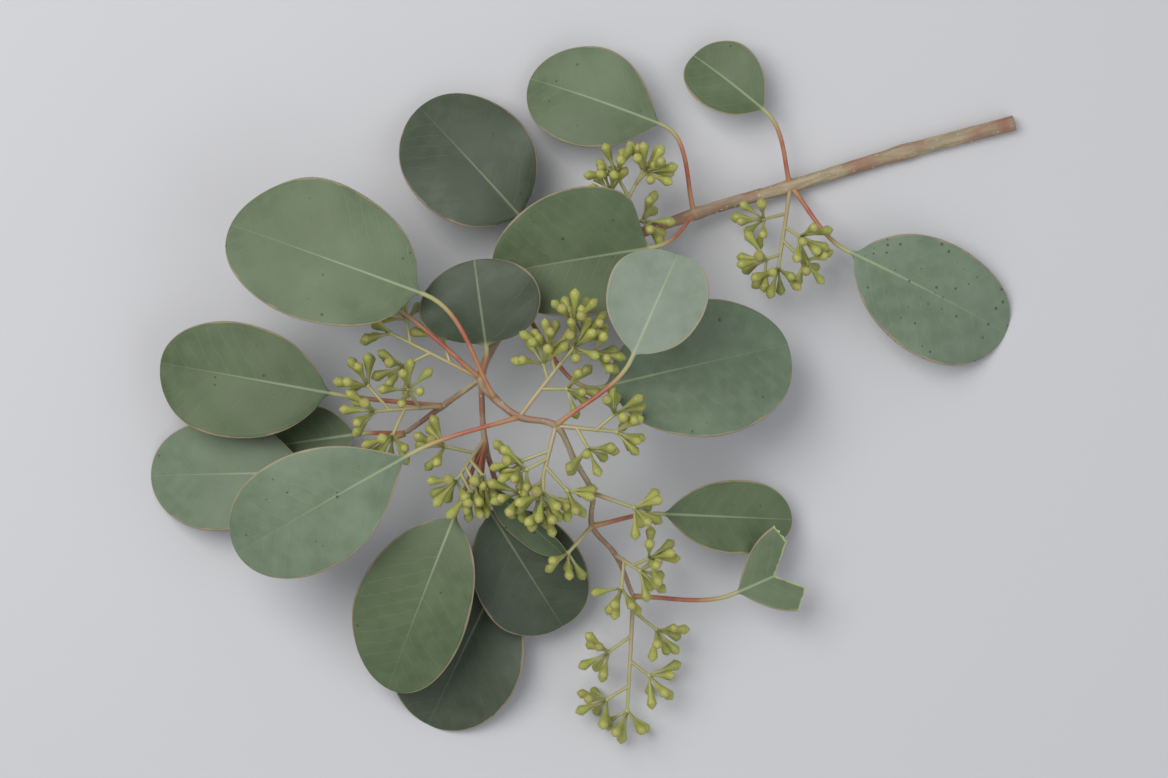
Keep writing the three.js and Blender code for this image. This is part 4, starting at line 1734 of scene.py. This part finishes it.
@dataclass
class Skeleton:
    """The stalks of a spray as edges, and the places of its nuts."""

    points: list[Array] = field(default_factory=list)
    edges: list[tuple[int, int]] = field(default_factory=list)
    thickness: list[float] = field(default_factory=list)
    woody: list[float] = field(default_factory=list)
    pointing: list[Array] = field(default_factory=list)
    nut_size: list[float] = field(default_factory=list)
    knob_size: list[float] = field(default_factory=list)

    def _add(self, point: Array, thickness: float = 0.0, woody: float = 0.0) -> int:
        """Adds a point and returns its number.

        Args:
            point: The place.
            thickness: The radius of the stalk there.
            woody: How woody the stalk is there, from 0 to 1.

        Returns:
            The number of the point.
        """
        self.points.append(point)
        self.thickness.append(thickness)
        self.woody.append(woody)
        self.pointing.append(UP)
        self.nut_size.append(0.0)
        self.knob_size.append(0.0)
        return len(self.points) - 1

    def add_stalk(self, path: Array, radii: Array, woody: Array) -> None:
        """Adds a stalk along a path."""
        numbers = [self._add(*values) for values in zip(path, radii, woody)]
        self.edges += zip(numbers, numbers[1:])

    def add_knob(self, at: Array, radius: float) -> None:
        """Adds the knob from which the nuts of an umbel grow."""
        self.knob_size[self._add(at)] = radius

    def add_nut(self, at: Array, pointing: Array, size: float) -> None:
        """Adds a nut.

        Args:
            at: The middle of its umbel.
            pointing: Which way it points.
            size: Its size beside a plain nut.
        """
        number = self._add(at)
        self.pointing[number] = pointing
        self.nut_size[number] = size

    def to_mesh(self, name: str) -> bpy.types.Mesh:
        """Makes the mesh that the spray grows from.

        Args:
            name: The name of the mesh.

        Returns:
            The mesh, whose points carry the spray's values.
        """
        values = {
            "thickness": np.array(self.thickness) * MM,
            "woody": np.array(self.woody),
            "nut_size": np.array(self.nut_size),
            "knob_size": np.array(self.knob_size) * MM,
            "pointing": np.array(self.pointing),
        }
        return new_mesh(name, to_frame(np.array(self.points)), self.edges, [], values)


@dataclass(frozen=True)
class SprayKit:
    """What every spray is grown with: a nut's measures, the nut, the geometry nodes and the finish."""

    nut: GumNut
    model: bpy.types.Object
    tree: bpy.types.NodeTree
    finish: bpy.types.Material


@dataclass(frozen=True)
class Spray:
    """A spray of gum nuts: an axis with umbels on short branches, and one at its end.

    A dense spray has further, shorter branches between them. Angles are in degrees, and a branch or
    a nut tries its turns one by one until it has room.
    """

    number: int
    joint: str
    end: Place
    umbels: int
    seed: int
    first: float = 0.34
    side: int = 0
    dense: bool = True

    AXIS_RADIUS = 0.8
    AXIS_STEPS = 12
    AXIS_TAPER = 0.3
    AXIS_WOODY = 0.9
    AXIS_RISE = 3
    BRANCH_RADIUS = 0.6
    BRANCH_SHARES = (1.05, 0.9)
    BRANCH_STEPS = 5
    BRANCH_WOODY = 0.35
    BRANCH_BOW = 0.6
    BRANCH_LENGTH = 9.0
    BRANCH_LENGTH_RANGE = (0.8, 1.2)
    BRANCH_LEAN = 55
    BRANCH_SCATTER = 26
    BRANCH_FLATNESS = 0.5
    BRANCH_TURNS = (0, 40, -40, 80, -80, 180)
    BRANCH_CHECK_SIDES = 5
    FURTHER_LENGTH = 0.75
    FURTHER_TURN = 90
    FURTHER_SCATTER = 70
    LOWEST_UMBEL = 4.0
    KNOB_RADIUS = 0.95
    NUTS_ROUND = 6
    MIDDLE_NUT_LEAN = 8
    OUTER_NUT_LEAN = (40, 74)
    NUT_SCATTER = 0.35
    NUT_SIZE_RANGE = (0.9, 1.06)
    NUT_TURNS = (0, 24, -24, 44, -44)
    ROOM = 0.3
    HEAD_AT = 8.8
    HEAD_SPACE = 3.4

    def axis(self) -> Bezier:
        """Returns the curve of the axis, from its joint on the stem to its last umbel."""
        start, end = joint_place(self.joint), np.array(self.end, float)
        return Bezier(np.array([start, (start + end) / 2 + UP * self.AXIS_RISE, end]))

    def build(self, room: Room, kit: SprayKit) -> bpy.types.Object:
        """Builds the spray.

        Args:
            room: What is already in place, which grows with this spray.
            kit: What it is grown with.

        Returns:
            The piece that stands for the spray's node.
        """
        skeleton = Skeleton()
        solids: list[tuple[Array, Faces]] = []
        curve = self.axis()
        t = np.linspace(0, 1, self.AXIS_STEPS)
        radii = self.AXIS_RADIUS * (1 - self.AXIS_TAPER * t)
        skeleton.add_stalk(curve.at(t), radii, self.AXIS_WOODY * (1 - t))
        for k, share in enumerate(self._shares()):
            umbel = here = Heading.towards(curve.at(share)[0], curve.along(share)[0])
            if k != self.umbels - 1:
                umbel = self._branch(here, k, room)
                if umbel is None:
                    continue
                self._grow_branch(skeleton, here.at, umbel.at)
            solids += self._umbel(skeleton, umbel, self.seed + k / 7, room, kit.nut)
        for points, faces in solids:
            room.add(points, faces)
        name = f"nut_spray_{self.number:02d}"
        values = {"Nut": kit.model, "Finish": kit.finish, "Seed": self.seed}
        mesh = grown(skeleton.to_mesh(name), kit.tree, values)
        return finished_piece(name, mesh, f"gum_nuts_{self.number:02d}")

    def _shares(self) -> list[float]:
        """Returns where along the axis its umbels leave it, the further ones of a dense spray last.

        Returns:
            The shares, from 0 at the stem to 1 at the end.
        """
        count = self.umbels - 1
        shares = [self.first + (1 - self.first) * k / count for k in range(self.umbels)] if count else [1.0]
        return shares + [(a + b) / 2 for a, b in zip(shares, shares[1:]) if self.dense]

    def _branch(self, here: Heading, count: int, room: Room) -> Union[Heading, None]:
        """Finds a branch that has room.

        Args:
            here: Where it leaves the axis.
            count: Which branch of the spray it is.
            room: What is already in place.

        Returns:
            The heading of its umbel, or None where there is no room.
        """
        length = self.BRANCH_LENGTH * draw_between(*self.BRANCH_LENGTH_RANGE, self.seed, count + 60)
        first, scatter = 180 * (count + self.side), self.BRANCH_SCATTER
        if count >= self.umbels:
            length *= self.FURTHER_LENGTH
            first, scatter = self.FURTHER_TURN, self.FURTHER_SCATTER
        first += draw_between(-scatter, scatter, self.seed, count + 99)
        radii = np.full(2, self.BRANCH_RADIUS + self.ROOM)
        for turn in self.BRANCH_TURNS:
            direction = here.leaning(math.radians(self.BRANCH_LEAN), math.radians(first + turn))
            direction = unit(direction * np.array([1, 1, self.BRANCH_FLATNESS]))
            end = here.at + direction * length
            rod = tube(np.array([here.at, end]), radii, self.BRANCH_CHECK_SIDES)
            if end[2] >= self.LOWEST_UMBEL and room.is_free(*rod):
                return Heading.towards(end, direction)
        return None

    def _grow_branch(self, skeleton: Skeleton, start: Array, end: Array) -> None:
        """Adds a branch to the skeleton, with a slight bow.

        Args:
            skeleton: What it is added to.
            start: Where it leaves the axis.
            end: The middle of its umbel.
        """
        t = np.linspace(0, 1, self.BRANCH_STEPS)
        middle = (start + end) / 2 + UP * self.BRANCH_BOW
        radii = np.linspace(*self.BRANCH_SHARES, self.BRANCH_STEPS) * self.BRANCH_RADIUS
        woody = np.linspace(self.BRANCH_WOODY, 0, self.BRANCH_STEPS)
        skeleton.add_stalk(Bezier(np.array([start, middle, end])).at(t), radii, woody)

    def _umbel(self, skeleton: Skeleton, centre: Heading, seed: float, room: Room,
               nut: GumNut) -> list[tuple[Array, Faces]]:
        """Adds an umbel: a knob, a nut straight on and others round it, each where it has room.

        Args:
            skeleton: What it is added to.
            centre: Its heading.
            seed: The seed of its draws.
            room: What is already in place, which takes the middles of its nuts at once.
            nut: The measures of a nut.

        Returns:
            The solids of its nuts, which later sprays keep clear of.
        """
        solids = []
        skeleton.add_knob(centre.at, self.KNOB_RADIUS)
        for i in range(self.NUTS_ROUND + 1):
            lean = self.MIDDLE_NUT_LEAN if i == 0 else draw_between(*self.OUTER_NUT_LEAN, seed, i)
            azimuth = 2 * math.pi * (i + self.NUT_SCATTER * draw(seed, i + 20)) / self.NUTS_ROUND
            size = draw_between(*self.NUT_SIZE_RANGE, seed, i + 40)
            for turn in self.NUT_TURNS:
                direction = centre.leaning(math.radians(lean), azimuth + math.radians(turn))
                head = centre.at + direction * self.HEAD_AT * size
                if not room.fits_head(head, self.HEAD_SPACE):
                    continue
                points, faces = nut.outline(Heading.towards(centre.at, direction), size)
                if points[:, 2].min() < self.ROOM or not room.is_free(points, faces):
                    continue
                room.heads.append(head)
                solids.append((points, faces))
                skeleton.add_nut(centre.at, direction, size)
                break
        return solids


SPRAYS = (
    Spray(1, "n1", (-42, 27, 36), 4, 3, dense=False),
    Spray(2, "w1", (-47, 1, 38), 4, 11, dense=False),
    Spray(3, "n3", (22, 26, 47), 4, 5),
    Spray(4, "n4", (33, -6, 46), 2, 8),
    Spray(5, "n4", (7, -28, 42), 4, 2),
    Spray(6, "u1", (-20, -22, 38), 3, 21),
    Spray(7, "n6", (39, -31, 36), 1, 7),
    Spray(8, "n7", (17, -46, 31), 1, 13),
    Spray(9, "n8", (41, -52, 26), 2, 17),
    Spray(10, "n9", (37, -100, 8), 5, 4, first=0.12, side=1, dense=False),
    Spray(11, "s3", (42, 82, 26), 3, 9),
    Spray(12, "s1", (88, 50, 18), 3, 6),
)


def spray_tree() -> bpy.types.NodeTree:
    """Makes the geometry nodes that grow stalks along edges, and knobs and nuts at points.

    Returns:
        The tree. It reads thickness, knob_size, nut_size and pointing from the points.
    """
    graph, start, end = geometry_group(
        "gum_nut_spray",
        {"Nut": ("NodeSocketObject", None), "Finish": ("NodeSocketMaterial", None),
         "Stalk sides": ("NodeSocketInt", 8), "Seed": ("NodeSocketInt", 0)},
    )

    def carried(name: str, kind: str = "FLOAT") -> Socket:
        """Returns a value that the points carry."""
        return graph.add("GeometryNodeInputNamedAttribute", {"Name": name}, data_type=kind).outputs[0]

    def at_points(instance: Socket, size_name: str, **inputs: Socket) -> Socket:
        """Returns an instance at each point that carries a size for it.

        Args:
            instance: The instance.
            size_name: The name of the size.
            **inputs: What else feeds the node, by name.

        Returns:
            The instances.
        """
        inputs |= {"Points": start["Geometry"], "Instance": instance, "Scale": carried(size_name),
                   "Selection": graph.math("GREATER_THAN", carried(size_name), 0.0)}
        return graph.add("GeometryNodeInstanceOnPoints", inputs).outputs["Instances"]

    stalks = graph.add("GeometryNodeMeshToCurve", {"Mesh": start["Geometry"]})
    section = graph.add(
        "GeometryNodeCurvePrimitiveCircle", {"Resolution": start["Stalk sides"], "Radius": 1.0})
    tubes = graph.add(
        "GeometryNodeCurveToMesh",
        {"Curve": stalks.outputs["Curve"], "Profile Curve": section.outputs["Curve"],
         "Scale": carried("thickness"), "Fill Caps": True},
    )
    knob = graph.add("GeometryNodeMeshIcoSphere", {"Radius": 1.0, "Subdivisions": 2})
    knobs = at_points(knob.outputs["Mesh"], "knob_size")
    model = graph.add("GeometryNodeObjectInfo", {"Object": start["Nut"], "As Instance": True})
    pointed = graph.add(
        "FunctionNodeAlignRotationToVector", {"Vector": carried("pointing", "FLOAT_VECTOR")}, axis="Z")
    spin = graph.random(0.0, 2 * math.pi, start["Seed"])
    about = graph.add("FunctionNodeAxisAngleToRotation", {"Axis": (0, 0, 1), "Angle": spin})
    turned = graph.add(
        "FunctionNodeRotateRotation",
        {"Rotation": pointed.outputs[0], "Rotate By": about.outputs[0]}, rotation_space="LOCAL")
    nuts = at_points(model.outputs["Geometry"], "nut_size", Rotation=turned.outputs[0])
    toned = graph.stored(nuts, "nut_tone", graph.random(0.0, 1.0, start["Seed"]), "INSTANCE")
    together = graph.realized(graph.joined(toned, knobs, tubes.outputs["Mesh"]))
    graph.feed(end, graph.dressed(together, start["Finish"]))
    return graph.tree


# The studio


@dataclass(frozen=True)
class Lamp:
    """A square area light that points at the sprig, with its place and side in metres."""

    name: str
    at: Place
    side: float
    watts: float
    tint: Place

    def hang(self) -> None:
        """Hangs the light."""
        data = bpy.data.lights.new(self.name, "AREA")
        data.size = self.side
        data.energy = self.watts
        data.color = self.tint
        light = linked_object(self.name, data)
        light.location = self.at
        light.rotation_euler = (-Vector(self.at)).to_track_quat("-Z", "Y").to_euler()


@dataclass
class Studio:
    """A pale floor, soft lights and a camera that looks down on the sprig."""

    lamps: tuple[Lamp, ...] = (
        Lamp("key", (-0.55, 0.35, 1.1), 0.9, 12.5, (1.0, 0.985, 0.96)),
        Lamp("fill", (0.9, -0.5, 0.9), 1.2, 5.0, (0.95, 0.97, 1.0)),
    )
    sky: tuple[float, float, float, float] = (0.9, 0.93, 1.0, 1.0)
    sky_strength: float = 0.47
    floor_size: float = 4.0
    elevation: float = 88.0
    lens: float = 100.0
    margin: float = 1.07

    def build(self, box: tuple[Vector, Vector], floor_finish: bpy.types.Material) -> None:
        """Builds the floor, the lights and the camera.

        Args:
            box: The lowest and highest corners of the sprig.
            floor_finish: The finish of the floor.
        """
        self._floor(floor_finish)
        for lamp in self.lamps:
            lamp.hang()
        world = bpy.data.worlds.new("studio")
        world.use_nodes = True
        background = world.node_tree.nodes["Background"]
        background.inputs["Color"].default_value = self.sky
        background.inputs["Strength"].default_value = self.sky_strength
        bpy.context.scene.world = world
        bpy.context.scene.view_settings.view_transform = "Standard"
        self._camera(box)

    def _floor(self, finish: bpy.types.Material) -> None:
        """Lays the floor.

        Args:
            finish: The finish of the floor.
        """
        half = self.floor_size / 2
        corners = [(-half, -half, 0), (half, -half, 0), (half, half, 0), (-half, half, 0)]
        mesh = bpy.data.meshes.new("floor")
        mesh.from_pydata(corners, [], [(0, 1, 2, 3)])
        mesh.materials.append(finish)
        linked_object("floor", mesh)

    def _camera(self, box: tuple[Vector, Vector]) -> None:
        """Places the camera so that the sprig fills the photograph's frame.

        Args:
            box: The lowest and highest corners of the sprig.
        """
        data = bpy.data.cameras.new("camera")
        data.lens = self.lens
        camera = linked_object("camera", data)
        bpy.context.scene.camera = camera
        tilt = math.radians(self.elevation)
        back = Vector((0, -math.cos(tilt), math.sin(tilt)))
        up = Vector((0, math.sin(tilt), math.cos(tilt)))
        low, high = box
        rise = [Vector(corner).dot(up) for corner in product(*zip(low, high))]
        middle = (low + high) / 2
        centre = middle + up * ((max(rise) + min(rise)) / 2 - middle.dot(up))
        width, height = PHOTO_SIZE
        across = data.sensor_width / 2 / data.lens
        needed = max((high.x - low.x) / 2, (max(rise) - min(rise)) / 2 * width / height) * self.margin
        camera.location = centre + back * (needed / across)
        camera.rotation_euler = back.to_track_quat("Z", "Y").to_euler()


def main() -> None:
    """Builds the sprig and the studio round it."""
    logging.basicConfig(level=logging.INFO, format="%(name)s: %(message)s")
    effects = Effects()
    Studio().build(CAD_BOX, FloorFinish().make(effects))
    room = Room()
    Shoot().build(BarkFinish().make(effects), CutWoodFinish().make(effects))
    finishes = {tone: tone.value.make(effects) for tone in LeafTone}
    for leaf in LEAVES:
        leaf.build(finishes[leaf.tone])
    nut = GumNut()
    kit = SprayKit(nut, nut.to_object(), spray_tree(), NutFinish().make(effects))
    for spray in SPRAYS:
        spray.build(room, kit)
    log.info("%d gum nuts in all", len(room.heads))


if __name__ == "__main__":
    main()
